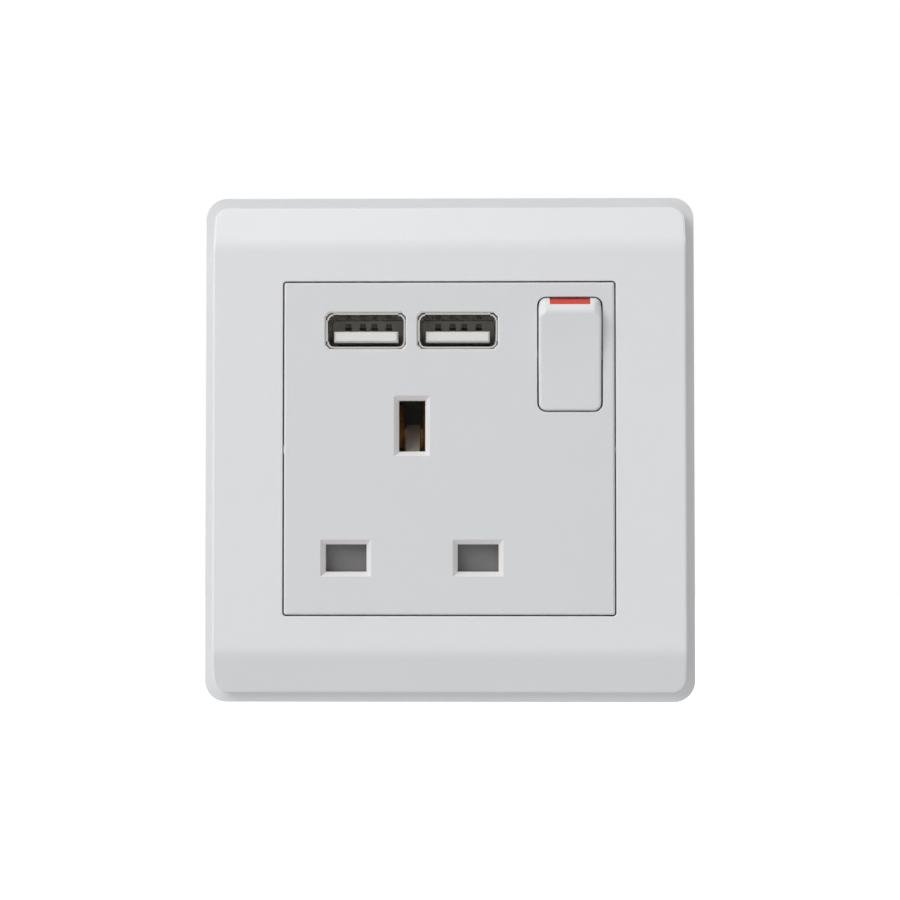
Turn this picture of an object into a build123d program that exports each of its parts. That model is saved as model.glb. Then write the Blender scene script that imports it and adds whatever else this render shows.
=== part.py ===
from build123d import *
import math
import os

# Single switched socket outlet with two USB ports. Millimetres.
# X is to the right, Z is up, and the wall is the plane Y = 0 with the front towards -Y.
# The origin is the middle of the plate on the wall plane.

# Wall frame and its bevelled rim
PLATE_WIDTH = 83.2
PLATE_HEIGHT = 85.8
RIM_CORNER = 3.6
RIM_SIDE = 3.25
RIM_RISE = 0.15
RIM_WALL = 2.2
LEDGE = 1.75
WEB = 1.6
RIB = 1.2
RIB_X = 10.0
COLLAR_WALL = 1.3
COLLAR_GAP = 0.2
COLLAR_SHORT = 0.6
FIXING_SPACING = 60.3
FIXING_RADIUS = 2.0
FIXING_PAD = 8.0

# Clip-on cover
FACE_PROUD = 8.4
COVER_CORNER = 2.3
COVER_WALL = 1.8
COVER_EDGE = 0.4
NEAR = 0.01
FLAT_HALF = 34.4
FOLD_RADIUS = 4.6
SLOPE_DROP = 3.6
COVER_LIP = 1.2
COVER_LIP_DEPTH = 2.2
HOOK_WIDTH = 8.0
HOOK_WALL = 1.2
HOOK_REACH = 0.45
HOOK_X = 20.0
HOOK_FROM_COLLAR = 2.6
HOOK_CLEARANCE = 0.15
HOOK_FLEX = 0.6
HOOK_TAIL = 0.9

# Face panel
INSERT_WIDTH = 55.6
INSERT_HEIGHT = 55.9
INSERT_CORNER = 0.35
INSERT_EDGE = 0.3
INSERT_GAP = 0.25
PANEL = 2.6
FLANGE_X = 0.8
FLANGE_Z = 0.65
MODULE_CORNER = 2.0
WALL = 1.5
SKIRT_DEPTH = 7.8
LUG_RELIEF = 2.2
LUG_HEIGHT = 11.0
CATCH_WIDTH = 9.0
CATCH_REACH = 0.7
CATCH_DEPTH = 1.5
CATCH_X = 9.0
CATCH_PLAY = 0.1

# Pin windows, laid out for three flat pins
PIN_SPREAD = 22.23
PIN_RISE = 22.23
PIN_X_FROM_LEFT = 21.54
LOWER_FROM_BOTTOM = 9.49
LOWER_WINDOW = (6.9, 4.6)
EARTH_WINDOW = (4.45, 8.6)
WINDOW_BEVEL = 0.82
WINDOW_BEVEL_DEPTH = 1.0

# USB ports
USB_PITCH = 15.5
USB_LEFT_FROM_LEFT = 13.74
USB_FROM_TOP = 8.14
USB_THROAT = (12.5, 5.12)
USB_SHEET = 0.3
USB_FLARE = 0.15
USB_FLARE_DEPTH = 0.9
USB_CORNER = 0.4
USB_NOTCH = 0.75
USB_SET_BACK = 0.15
USB_BEVEL = 0.25
USB_FIT = 0.05
USB_LENGTH = 14.05
TONGUE = (10.8, 1.84)
TONGUE_DROP = 0.975
TONGUE_LENGTH = 8.6
TONGUE_EDGE = 0.3
USB_CONTACT_X = (-3.5, -1.0, 1.0, 3.5)
USB_CONTACT_WIDTH = 0.9
USB_CONTACT_THICK = 0.2
USB_CONTACT_BACK = 2.4
USB_CAVITY = (1.2, 1.35)
USB_CAVITY_DEPTH = 1.6

# Rocker switch, at rest in its ON position
ROCKER_OPENING = (11.05, 19.45)
ROCKER_CORNER = 1.3
ROCKER_FROM_RIGHT = 7.47
ROCKER_FROM_TOP = 12.15
ROCKER_GAP = 0.25
ROCKER_END_GAP = 0.17
ROCKER_EDGE = 0.4
ROCKER_TILT = 7.0
ROCKER_SKIRT = 2.6
ROCKER_WALL = 1.3
ROCKER_ROOF = 1.6
ROCKER_FLUSH = 0.1
BEVEL_RUN = 2.2
PIVOT_DEPTH = 2.2
TRUNNION_RADIUS = 1.0
TRUNNION_LENGTH = 0.7
TRUNNION_PLAY = 0.06
TRUNNION_END_PLAY = 0.15
FLAG_WIDTH = 6.8
FLAG_RUN = 1.6
FLAG_THICK = 0.8
POST = 5.0
POST_LENGTH = 5.5
BORE_RADIUS = 1.6
BORE_DEPTH = 6.1

# Plunger and seesaw contact
PLUNGER_PLAY = 0.08
PLUNGER_STEM = 3.4
PLUNGER_STEM_RADIUS = 0.9
PLUNGER_HEAD = 1.6
PLUNGER_CLEAR = 0.08
ARM_Y = 3.4
ARM_TILT = 5.0
ARM_LENGTH = 14.6
ARM_WIDTH = 5.0
ARM_THICK = 0.8
ARM_LIFT = 0.3
RIDGE_RADIUS = 0.5
RIDGE_PLAY = 0.1
TIP_RADIUS = 1.3
TIP_HEIGHT = 0.8
TIP_FROM_END = 1.3
TIP_GAP = 0.1
STRAP = 0.8
STRAP_WIDTH = 1.8
STRAP_PAD = 4.8

# Shutter
SHUTTER_PLAY = 0.2
SHUTTER_THICK = 1.8
SHUTTER_TRAVEL = 4.7
RAMP_LEAD = 0.35
SHUTTER_COVER = 0.2
SHUTTER_SIDE = 0.55
STEM_WIDTH = 2.6
RAMP_WIDTH = 2.4
RAMP_FOOT = 4.52
RAMP_DEPTH = 5.8
RAMP_BACK = 1.4
SHELF = 1.0
SHELF_DROP = 3.25
CROSSBAR_TOP = 0.86
GUIDE = 1.0

# Springs
COIL_STEPS = 6
SHUTTER_COIL = 1.15
SHUTTER_WIRE = 0.4
SHUTTER_TURNS = 6
PLUNGER_COIL = 1.1
PLUNGER_WIRE = 0.4
PLUNGER_TURNS = 4

# Pin contacts
SHEET = 0.6
GRIP_HALF = 1.7
FLARE_HALF = 2.6
CLIP_HALF = 2.4
GRIP_BACK = 2.0
LOWER_CLIP_FRONT = -2.6
LOWER_CLIP_BACK = 10.4
LOWER_CLIP_WIDTH = 6.0
EARTH_CLIP_FRONT = -4.3
EARTH_CLIP_BACK = 15.8
EARTH_CLIP_WIDTH = 7.2
EARTH_BASE_TOP = 0.5
LINK_WIDTH = 4.4
LINK_RISE = 3.0

# Terminals
TERMINAL = 7.0
TERMINAL_BACK = 19.5
TERMINAL_EDGE = 0.5
WIRE_BORE = 2.2
WIRE_BORE_IN = 3.0
WIRE_ENTRY = 2.5
EARTH_TERMINAL_DROP = 12.77
POST_HEIGHT = 3.0
POST_WIDTH = 4.0
CLAMP_RADIUS = 1.7
CLAMP_PLAY = 0.05
CLAMP_PROUD = 1.4
SLOT = 0.8
SLOT_DEPTH = 0.9

# Rear housing
HOUSING_DEPTH = 21.0
FLOOR = 1.6
HOUSING_EDGE = 1.0
COLUMN = 6.0
BOSS = 4.6
BOSS_DEPTH = 6.4
SCREW_RADIUS = 1.2
SCREW_PLAY = 0.1
SCREW_HEAD = 2.0
SCREW_HEAD_HEIGHT = 1.6
SCREW_SEAT = 6.0
SCREW_LENGTH = 12.0
SCREW_INSET_X = 2.7
SCREW_INSET_Z = 3.9
WELL_WALL = 0.9
WELL_PLAY = 0.1
WELL_DEPTH = 3.3
WELL_HOLE = 2.4
REST = 5.0
PARTITION = 1.6

# Charger
BOARD = 1.6
BOARD_EDGE_PLAY = 0.4
BOARD_ABOVE_EARTH = 1.4
BOARD_TOP_PLAY = 0.8
LEDGE_REST = 1.9
LEDGE_REST_HEIGHT = 4.0
CORE = (13.2, 11.0, 5.6)
CORE_LEG = 3.8
CORE_LIMB = 2.0
WINDING = (9.0, 10.8)
WINDING_PLAY = 0.1
PART_GAP = 0.4
INPUT_CAP = (6.4, 9.0, 7.0)
OUTPUT_CAP = (3.4, 9.0)
CHIP = (4.2, 1.6, 5.0)
CHIP_EDGE = 0.3
LEAD_RADIUS = 0.7
LEAD_SIDES = 8
LEAD_STAND = 2.2

# Levels along Y
FACE_Y = -FACE_PROUD
SEAT_Y = FACE_Y + PANEL
RIM_TOP = -(RIM_SIDE + RIM_RISE)
WEB_BACK = RIM_TOP + WEB
COLLAR_BACK = -COLLAR_SHORT
JOIN_Y = SEAT_Y + SKIRT_DEPTH
BACK_Y = JOIN_Y + HOUSING_DEPTH
FLOOR_Y = BACK_Y - FLOOR
PIVOT_Y = FACE_Y + PIVOT_DEPTH
SHUTTER_FRONT = SEAT_Y + SHUTTER_PLAY
SHUTTER_BACK = SHUTTER_FRONT + SHUTTER_THICK
USB_FRONT = FACE_Y + USB_SET_BACK
BOARD_Y = USB_FRONT + USB_LENGTH
TERMINAL_Y = LOWER_CLIP_BACK
WIRE_Y = TERMINAL_Y + WIRE_BORE_IN

# Places across the face
COVER_WIDTH = PLATE_WIDTH - 2 * LEDGE
COVER_HEIGHT = PLATE_HEIGHT - 2 * LEDGE
MODULE_WIDTH = INSERT_WIDTH - 2 * FLANGE_X
MODULE_HEIGHT = INSERT_HEIGHT - 2 * FLANGE_Z
EARTH_X = PIN_X_FROM_LEFT - INSERT_WIDTH / 2
LOWER_Z = LOWER_FROM_BOTTOM - INSERT_HEIGHT / 2
EARTH_Z = LOWER_Z + PIN_RISE
NEUTRAL_X = EARTH_X - PIN_SPREAD / 2
LIVE_X = EARTH_X + PIN_SPREAD / 2
USB_LEFT_X = USB_LEFT_FROM_LEFT - INSERT_WIDTH / 2
USB_X = (USB_LEFT_X, USB_LEFT_X + USB_PITCH)
USB_Z = INSERT_HEIGHT / 2 - USB_FROM_TOP
SWITCH_X = INSERT_WIDTH / 2 - ROCKER_FROM_RIGHT
SWITCH_Z = INSERT_HEIGHT / 2 - ROCKER_FROM_TOP
EARTH_TERMINAL_Z = EARTH_Z - EARTH_TERMINAL_DROP
ROCKER_WIDTH = ROCKER_OPENING[0] - 2 * ROCKER_GAP
PARTITION_X = SWITCH_X - ROCKER_OPENING[0] / 2 + PARTITION / 2
SCREW_X = MODULE_WIDTH / 2 - SCREW_INSET_X
SCREW_Z = MODULE_HEIGHT / 2 - SCREW_INSET_Z
SCREW_PLACES = ((-SCREW_X, SCREW_Z), (SCREW_X, -SCREW_Z))
FIXING_PLACES = (-FIXING_SPACING / 2, FIXING_SPACING / 2)
SIDES = (-1, 1)

# How much a corner cut at 45 degrees grows as its outline is offset by one
CORNER_GROW = 2 - math.sqrt(2)

# Terminal blocks: name, place across the face, and the way their wire comes in
TERMINALS = {
    "live": (SWITCH_X, SWITCH_Z, (0, 1)),
    "neutral": (NEUTRAL_X, LOWER_Z, (0, -1)),
    "earth": (EARTH_X, EARTH_TERMINAL_Z, (-1, 0)),
}


def prism(outline, front, back):
    """An (x, z) outline carried along Y from front to back."""
    return extrude(Plane.XZ.offset(-back) * outline, back - front)


def slab(outline, left, right):
    """A (y, z) outline carried along X from left to right."""
    return extrude(Plane.YZ.offset(left) * outline, right - left)


def shelf(outline, low, high):
    """An (x, y) outline carried up Z from low to high."""
    return extrude(Plane.XY.offset(low) * outline, high - low)


def bar(x_span, y_span, z_span):
    """A rectangular block between three pairs of limits."""
    sizes = [span[1] - span[0] for span in (x_span, y_span, z_span)]
    middle = [(span[0] + span[1]) / 2 for span in (x_span, y_span, z_span)]
    return Pos(*middle) * Box(*sizes)


def rod(x, z, radius, front, back):
    """A round bar along Y."""
    return prism(Pos(x, z) * Circle(radius), front, back)


def polygon(*points):
    """A flat face inside straight edges."""
    return make_face(Polyline(*points, close=True))


def chamfered(width, height, corner):
    """A rectangle with its corners cut across."""
    outline = Rectangle(width, height)
    return chamfer(outline.vertices(), corner)


def tapered(outline, front, back, shrink):
    """An (x, z) outline carried forward from back to front, drawn in by shrink all round."""
    angle = math.degrees(math.atan2(shrink, back - front))
    return extrude(Plane.XZ.offset(-back) * outline, back - front, taper=angle)


def module_outline(grow=0.0):
    """The insert's rear outline, with side reliefs that clear the fixing lugs of the wall box."""
    corner = MODULE_CORNER + grow * CORNER_GROW
    outline = chamfered(MODULE_WIDTH + 2 * grow, MODULE_HEIGHT + 2 * grow, corner)
    relief_edge = MODULE_WIDTH / 2 - LUG_RELIEF + grow
    relief_width = MODULE_WIDTH / 2 + grow - relief_edge
    for side in SIDES:
        middle = side * (relief_edge + relief_width)
        outline -= Pos(middle, 0) * Rectangle(2 * relief_width, LUG_HEIGHT - 2 * grow)
    return outline


def make_back_frame():
    """Wall frame: bevelled rim, thin web, collar that carries the insert, fixing pads and ribs."""
    outline = RectangleRounded(PLATE_WIDTH, PLATE_HEIGHT, RIM_CORNER)
    frame = prism(outline, -RIM_SIDE, 0) + tapered(outline, RIM_TOP, -RIM_SIDE, LEDGE)
    inside = Rectangle(PLATE_WIDTH - 2 * RIM_WALL, PLATE_HEIGHT - 2 * RIM_WALL)
    frame -= prism(inside, WEB_BACK, 0)
    frame += prism(module_outline(COLLAR_GAP + COLLAR_WALL), SEAT_Y, COLLAR_BACK)
    reach = COLLAR_GAP + COLLAR_WALL
    for side in SIDES:
        for x in (-RIB_X, RIB_X):
            span = sorted((side * (MODULE_HEIGHT / 2 + reach), side * (PLATE_HEIGHT / 2 - RIM_WALL)))
            frame += bar((x - RIB / 2, x + RIB / 2), (WEB_BACK, COLLAR_BACK), span)
        for z in (-LUG_HEIGHT, LUG_HEIGHT):
            span = sorted((side * (MODULE_WIDTH / 2 + reach), side * (PLATE_WIDTH / 2 - RIM_WALL)))
            frame += bar(span, (WEB_BACK, COLLAR_BACK), (z - RIB / 2, z + RIB / 2))
    for x in FIXING_PLACES:
        frame += prism(Pos(x, 0) * Rectangle(FIXING_PAD, FIXING_PAD), RIM_TOP, 0)
    frame -= prism(module_outline(COLLAR_GAP), SEAT_Y, 0)
    for x in FIXING_PLACES:
        frame -= rod(x, 0, FIXING_RADIUS, RIM_TOP, 0)
    for side in SIDES:
        low = hook_middle() - HOOK_WALL / 2 - HOOK_FLEX
        high = hook_middle() + HOOK_WALL / 2 + HOOK_CLEARANCE
        for x in (-HOOK_X, HOOK_X):
            half = HOOK_WIDTH / 2 + HOOK_CLEARANCE
            frame -= bar((x - half, x + half), (RIM_TOP, WEB_BACK), sorted((side * low, side * high)))
    return frame


def hook_middle():
    """Height of a cover hook above or below the middle of the plate."""
    return MODULE_HEIGHT / 2 + COLLAR_GAP + COLLAR_WALL + HOOK_FROM_COLLAR


def cover_profile(base):
    """Side view of the cover: flat middle, rounded fold, sloping ends, straight foot."""
    half = COVER_HEIGHT / 2
    edge = FACE_Y + SLOPE_DROP
    profile = polygon(
        (base, -half),
        (edge, -half),
        (FACE_Y, -FLAT_HALF),
        (FACE_Y, FLAT_HALF),
        (edge, half),
        (base, half),
    )
    folds = profile.vertices().group_by(Axis.X)[0]
    return fillet(folds, FOLD_RADIUS)


def cover_hook(x, side):
    """A snap tongue that passes through the frame's web and catches behind it."""
    near = hook_middle() - HOOK_WALL / 2
    far = hook_middle() + HOOK_WALL / 2
    barb = far + HOOK_CLEARANCE + HOOK_REACH
    catch = WEB_BACK + CATCH_PLAY
    tip = -HOOK_TAIL
    outline = polygon(
        (FACE_Y + COVER_WALL, side * near),
        (tip, side * near),
        (tip, side * far),
        (catch, side * barb),
        (catch, side * far),
        (FACE_Y + COVER_WALL, side * far),
    )
    return slab(outline, x - HOOK_WIDTH / 2, x + HOOK_WIDTH / 2)


def make_cover_frame():
    """Clip-on cover: a moulded skin of even wall with a lipped window and four hooks."""
    outline = RectangleRounded(COVER_WIDTH, COVER_HEIGHT, COVER_CORNER)
    skin = slab(cover_profile(RIM_TOP), -COVER_WIDTH / 2, COVER_WIDTH / 2)
    skin = skin & prism(outline, FACE_Y, RIM_TOP)
    skin = chamfer(cover_rim_edges(skin), COVER_EDGE)
    inner_profile = offset(cover_profile(RIM_TOP + 2 * COVER_WALL), -COVER_WALL)
    inner_half = COVER_WIDTH / 2 - COVER_WALL
    inner = slab(inner_profile, -inner_half, inner_half)
    inner = inner & prism(Rectangle(2 * inner_half, COVER_HEIGHT - 2 * COVER_WALL), FACE_Y, RIM_TOP)
    cover = skin - inner
    window = RectangleRounded(
        INSERT_WIDTH + 2 * INSERT_GAP, INSERT_HEIGHT + 2 * INSERT_GAP, INSERT_CORNER + INSERT_GAP
    )
    lip_grow = 2 * (INSERT_GAP + COVER_LIP)
    lip = Rectangle(INSERT_WIDTH + lip_grow, INSERT_HEIGHT + lip_grow)
    cover += prism(lip, FACE_Y, FACE_Y + COVER_LIP_DEPTH)
    cover -= prism(window, FACE_Y, RIM_TOP)
    for side in SIDES:
        for x in (-HOOK_X, HOOK_X):
            cover += cover_hook(x, side)
    return cover


def cover_rim_edges(skin):
    """The closed front edge of the cover, without its foot, corners' uprights and fold lines."""
    def on_rim(edge):
        middle = edge @ 0.5
        near_side = abs(middle.X) > COVER_WIDTH / 2 - COVER_CORNER
        near_end = abs(middle.Z) > COVER_HEIGHT / 2 - COVER_CORNER
        at_foot = math.isclose(middle.Y, RIM_TOP, abs_tol=NEAR)
        return (near_side or near_end) and not at_foot

    uprights = skin.edges().filter_by(Axis.Y)
    return ShapeList(edge for edge in skin.edges().filter_by(on_rim) if edge not in uprights)


def rocker_reach():
    """Radius about the pivot of the rocker's two end faces."""
    half = ROCKER_OPENING[1] / 2 - ROCKER_END_GAP
    return math.hypot(half, PIVOT_DEPTH)


def bevelled_window(x, z, size):
    """A pin window with a bevelled mouth."""
    hole = Pos(x, z) * Rectangle(*size)
    return prism(hole, FACE_Y, SEAT_Y) + tapered(hole, FACE_Y, FACE_Y + WINDOW_BEVEL_DEPTH, -WINDOW_BEVEL)


def usb_ring(grow):
    """A port's throat with its cut corners, offset outwards."""
    width, height = USB_THROAT
    return chamfered(width + 2 * grow, height + 2 * grow, USB_CORNER + grow * CORNER_GROW)


def usb_window(x):
    """The opening, bevelled at its mouth, that a port shell's flared mouth stands in."""
    outline = Pos(x, USB_Z) * usb_ring(USB_SHEET + USB_FLARE + USB_FIT)
    return prism(outline, FACE_Y, SEAT_Y) + tapered(outline, FACE_Y, FACE_Y + USB_BEVEL, -USB_BEVEL)


def rocker_passage():
    """The rocker's opening, its swing space behind the panel and the two trunnion grooves."""
    grow = rocker_reach() + ROCKER_END_GAP - ROCKER_OPENING[1] / 2
    place = Pos(SWITCH_X, SWITCH_Z)
    back = place * RectangleRounded(
        ROCKER_OPENING[0] + 2 * grow, ROCKER_OPENING[1] + 2 * grow, ROCKER_CORNER + ROCKER_GAP + grow
    )
    passage = tapered(back, FACE_Y, SEAT_Y, grow)
    half = ROCKER_OPENING[0] / 2
    height = ROCKER_OPENING[1] / 2 + grow
    swing = ((SWITCH_X - half, SWITCH_X + half), (SWITCH_Z - height, SWITCH_Z + height))
    passage += bar(swing[0], (SEAT_Y, JOIN_Y), swing[1])
    groove = ROCKER_WIDTH / 2 + TRUNNION_LENGTH + TRUNNION_END_PLAY
    radius = TRUNNION_RADIUS + TRUNNION_PLAY
    bearing = Pos(PIVOT_Y, SWITCH_Z) * Circle(radius)
    slot_length = JOIN_Y - PIVOT_Y
    bearing += Pos(PIVOT_Y + slot_length / 2, SWITCH_Z) * Rectangle(slot_length, 2 * radius)
    return passage + slab(bearing, SWITCH_X - groove, SWITCH_X + groove)


def snap_catch(x, side):
    """A sloping catch on the skirt that snaps behind the wall frame's collar."""
    wall = MODULE_HEIGHT / 2
    front = COLLAR_BACK + CATCH_PLAY
    outline = polygon(
        (front, side * (wall - WALL / 2)),
        (front, side * (wall + CATCH_REACH)),
        (front + CATCH_DEPTH, side * wall),
        (front + CATCH_DEPTH, side * (wall - WALL / 2)),
    )
    return slab(outline, x - CATCH_WIDTH / 2, x + CATCH_WIDTH / 2)


def make_face_panel():
    """Square insert: front plate, skirt, screw bosses, stem guides and every opening."""
    plate = prism(RectangleRounded(INSERT_WIDTH, INSERT_HEIGHT, INSERT_CORNER), FACE_Y, SEAT_Y)
    plate = chamfer(plate.faces().sort_by(Axis.Y)[0].edges(), INSERT_EDGE)
    plate += prism(module_outline() - module_outline(-WALL), SEAT_Y, JOIN_Y)
    for side in SIDES:
        for x in (-CATCH_X, CATCH_X):
            plate += snap_catch(x, side)
        inner = EARTH_X + side * (STEM_WIDTH / 2 + SHUTTER_PLAY)
        outer = inner + side * GUIDE
        guide_z = (LOWER_Z + LOWER_WINDOW[1], EARTH_Z - EARTH_WINDOW[1] / 2 - WINDOW_BEVEL)
        plate += bar(sorted((inner, outer)), (SEAT_Y, SHUTTER_BACK), guide_z)
    for place in SCREW_PLACES:
        plate += prism(Pos(place) * Rectangle(BOSS, BOSS), SEAT_Y, JOIN_Y)
    for x, z in SCREW_PLACES:
        plate -= rod(x, z, SCREW_RADIUS + SCREW_PLAY, JOIN_Y - BOSS_DEPTH, JOIN_Y)
    for x in (NEUTRAL_X, LIVE_X):
        plate -= bevelled_window(x, LOWER_Z, LOWER_WINDOW)
    plate -= bevelled_window(EARTH_X, EARTH_Z, EARTH_WINDOW)
    for x in USB_X:
        plate -= usb_window(x)
    return plate - rocker_passage()


def turned(angle, radius_point):
    """A (height, rise) point turned about the pivot."""
    cosine = math.cos(math.radians(angle))
    sine = math.sin(math.radians(angle))
    height, rise = radius_point
    return (height * cosine - rise * sine, rise * cosine + height * sine)


def rocker_marks():
    """Corner points of the rocker's side view, as (height, rise) from the pivot."""
    reach = rocker_reach()
    flush = PIVOT_DEPTH + ROCKER_FLUSH
    low_end = turned(-ROCKER_TILT, (-math.sqrt(reach**2 - flush**2), flush))
    dish = -low_end[0] / math.sin(math.radians(ROCKER_TILT))
    dish_middle = low_end[1] - (dish - math.sqrt(dish**2 - low_end[0] ** 2))
    top_end = turned(-ROCKER_TILT, (math.sqrt(reach**2 - PIVOT_DEPTH**2), PIVOT_DEPTH))

    def on_dish(height):
        return (height, dish_middle + dish - math.sqrt(dish**2 - height**2))

    crease = on_dish(top_end[0] - BEVEL_RUN)
    back = math.sqrt(reach**2 - ROCKER_SKIRT**2)
    return {
        "low_back": (-back, -ROCKER_SKIRT),
        "low_side": (-reach, 0.0),
        "low_end": low_end,
        "dish": on_dish((low_end[0] + crease[0]) / 2),
        "crease": crease,
        "top_end": top_end,
        "top_side": (reach, 0.0),
        "top_back": (back, -ROCKER_SKIRT),
    }


def rocker_profile(marks):
    """Side view: concentric ends, a dished face and a bevel along the top."""
    at = {name: (-rise, height) for name, (height, rise) in marks.items()}
    lines = [
        ThreePointArc(at["low_back"], at["low_side"], at["low_end"]),
        ThreePointArc(at["low_end"], at["dish"], at["crease"]),
        Line(at["crease"], at["top_end"]),
        ThreePointArc(at["top_end"], at["top_side"], at["top_back"]),
        Line(at["top_back"], at["low_back"]),
    ]
    return make_face(lines)


def bevel_cutter(marks):
    """The slot along the outer half of the bevel that holds the red strip."""
    crease = marks["crease"]
    end = marks["top_end"]
    length = math.hypot(end[0] - crease[0], end[1] - crease[1])
    along = ((end[0] - crease[0]) / length, (end[1] - crease[1]) / length)
    out = (-along[1], along[0])

    def point(run, lift):
        height = crease[0] + along[0] * run + out[0] * lift
        rise = crease[1] + along[1] * run + out[1] * lift
        return (-rise, height)

    far = 2 * length
    outline = polygon(
        point(FLAG_RUN, FLAG_THICK),
        point(far, FLAG_THICK),
        point(far, -FLAG_THICK),
        point(FLAG_RUN, -FLAG_THICK),
    )
    return slab(outline, -FLAG_WIDTH / 2, FLAG_WIDTH / 2)


def at_switch(shape):
    """Place a piece built about the rocker's pivot at its ON tilt."""
    return Pos(SWITCH_X, PIVOT_Y, SWITCH_Z) * Rot(ROCKER_TILT, 0, 0) * shape


def rocker_face_edges(block, marks):
    """The long edges down both sides of the rocker's dish and bevel."""
    def beside_face(edge):
        middle = edge @ 0.5
        return -middle.Y > marks["top_end"][1] and abs(middle.X) > NEAR

    return block.edges().filter_by(beside_face)


def make_rocker_pair():
    """The rocker and the red strip let into its bevel."""
    marks = rocker_marks()
    half = ROCKER_WIDTH / 2
    block = slab(rocker_profile(marks), -half, half)
    block = chamfer(rocker_face_edges(block, marks), ROCKER_EDGE)
    outline = RectangleRounded(2 * half, ROCKER_OPENING[1] - 2 * ROCKER_END_GAP, ROCKER_CORNER)
    for side in SIDES:
        block = block & Rot(side * ROCKER_TILT, 0, 0) * prism(outline, -rocker_reach(), rocker_reach())
    cutter = bevel_cutter(marks)
    flag = block & cutter
    block -= cutter
    pocket_half = marks["crease"][0] - ROCKER_WALL / 2
    roof = marks["dish"][1] - ROCKER_ROOF
    inner = half - ROCKER_WALL
    block -= bar((-inner, inner), (-roof, ROCKER_SKIRT), (-pocket_half, pocket_half))
    block += prism(Rectangle(POST, POST), -roof, POST_LENGTH)
    block -= rod(0, 0, BORE_RADIUS, POST_LENGTH - BORE_DEPTH, POST_LENGTH)
    trunnion = slab(Circle(TRUNNION_RADIUS), -half - TRUNNION_LENGTH, -inner)
    block += trunnion
    block += mirror(trunnion, Plane.YZ)
    return at_switch(block), at_switch(flag)


def plunger_end():
    """Distance from the rocker's pivot to the plunger's tip."""
    return ARM_Y - ARM_LIFT - ARM_THICK - PLUNGER_CLEAR - PIVOT_Y


def plunger_head():
    """Distance from the rocker's pivot to the plunger's inner end, where its spring presses."""
    return plunger_end() - PLUNGER_STEM - PLUNGER_HEAD


def make_plunger():
    """Headed pin that slides in the rocker's post."""
    head = plunger_head()
    pin = rod(0, 0, BORE_RADIUS - PLUNGER_PLAY, head, head + PLUNGER_HEAD)
    pin += rod(0, 0, PLUNGER_STEM_RADIUS, head + PLUNGER_HEAD, plunger_end())
    return at_switch(pin)


def coil(radius, wire, turns, length):
    """A square-wire spring standing on the XY plane, as long as its two seats are apart."""
    rise = length - wire
    points = []
    for step in range(turns * COIL_STEPS + 1):
        turn = 2 * math.pi * step / COIL_STEPS
        height = wire / 2 + rise * step / (turns * COIL_STEPS)
        points.append((radius * math.cos(turn), radius * math.sin(turn), height))
    path = Polyline(*points)
    section = Plane(origin=path @ 0, x_dir=(1, 0, 0), z_dir=path % 0) * Rectangle(wire, wire)
    return sweep(section, path, transition=Transition.RIGHT)


def make_plunger_spring():
    """Coil between the bottom of the post's bore and the plunger."""
    bottom = POST_LENGTH - BORE_DEPTH
    spring = coil(PLUNGER_COIL, PLUNGER_WIRE, PLUNGER_TURNS, plunger_head() - bottom)
    return at_switch(Pos(0, bottom, 0) * Rot(-90, 0, 0) * spring)


def at_arm(shape):
    """Place a piece built about the seesaw's ridge at its ON tilt."""
    return Pos(SWITCH_X, ARM_Y, SWITCH_Z) * Rot(-ARM_TILT, 0, 0) * shape


def arm_tip_height():
    """Distance of the contact rivet above the seesaw's ridge."""
    return ARM_LENGTH / 2 - TIP_FROM_END


def make_contact_arm():
    """Seesaw strip with a groove that rides on the terminal's ridge."""
    half = ARM_LENGTH / 2
    strip = Pos(-ARM_LIFT - ARM_THICK / 2, 0) * Rectangle(ARM_THICK, 2 * half)
    strip -= Circle(RIDGE_RADIUS + RIDGE_PLAY)
    return at_arm(slab(strip, -ARM_WIDTH / 2, ARM_WIDTH / 2))


def make_moving_tip():
    """Contact rivet on the back of the arm's upper end."""
    return at_arm(rod(0, arm_tip_height(), TIP_RADIUS, -ARM_LIFT, TIP_HEIGHT - ARM_LIFT))


def fixed_tip_y():
    """Depth of the fixed rivet's front, just behind the closed moving rivet."""
    tilt = math.radians(ARM_TILT)
    reach = arm_tip_height() + TIP_RADIUS
    return ARM_Y + (TIP_HEIGHT - ARM_LIFT) * math.cos(tilt) + reach * math.sin(tilt) + TIP_GAP


def fixed_tip_z():
    """Height of the fixed rivet."""
    return SWITCH_Z + arm_tip_height() * math.cos(math.radians(ARM_TILT))


def make_fixed_tip():
    """Contact rivet on the strap's pad."""
    front = fixed_tip_y()
    return rod(SWITCH_X, fixed_tip_z(), TIP_RADIUS, front, front + TIP_HEIGHT)


def strap_span_x():
    """Left and right limits of the strap's long run, on the edge of the partition."""
    left = PARTITION_X - STRAP_WIDTH / 2
    return (left, left + STRAP_WIDTH)


def link_top():
    """Height of the live contact's link, where the strap's shelf meets it."""
    return LOWER_Z + CLIP_HALF + SHEET + LINK_RISE


def make_switched_live_strap():
    """Folded strip: a pad at the fixed rivet, a long run down and a shelf to the live contact."""
    front = fixed_tip_y() + TIP_HEIGHT
    left, right = strap_span_x()
    pad_low = fixed_tip_z() - STRAP_PAD / 2
    pad_high = fixed_tip_z() + STRAP_PAD / 2
    low = link_top() - STRAP
    outline = polygon(
        (left, low),
        (right, low),
        (right, pad_low),
        (SWITCH_X + STRAP_PAD / 2, pad_low),
        (SWITCH_X + STRAP_PAD / 2, pad_high),
        (left, pad_high),
    )
    strap = prism(outline, front, front + STRAP)
    link_left = LIVE_X - LINK_WIDTH / 2
    link_front = LOWER_CLIP_BACK - SHEET
    return strap + bar((link_left, right), (front, link_front), (low, low + STRAP))


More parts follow.
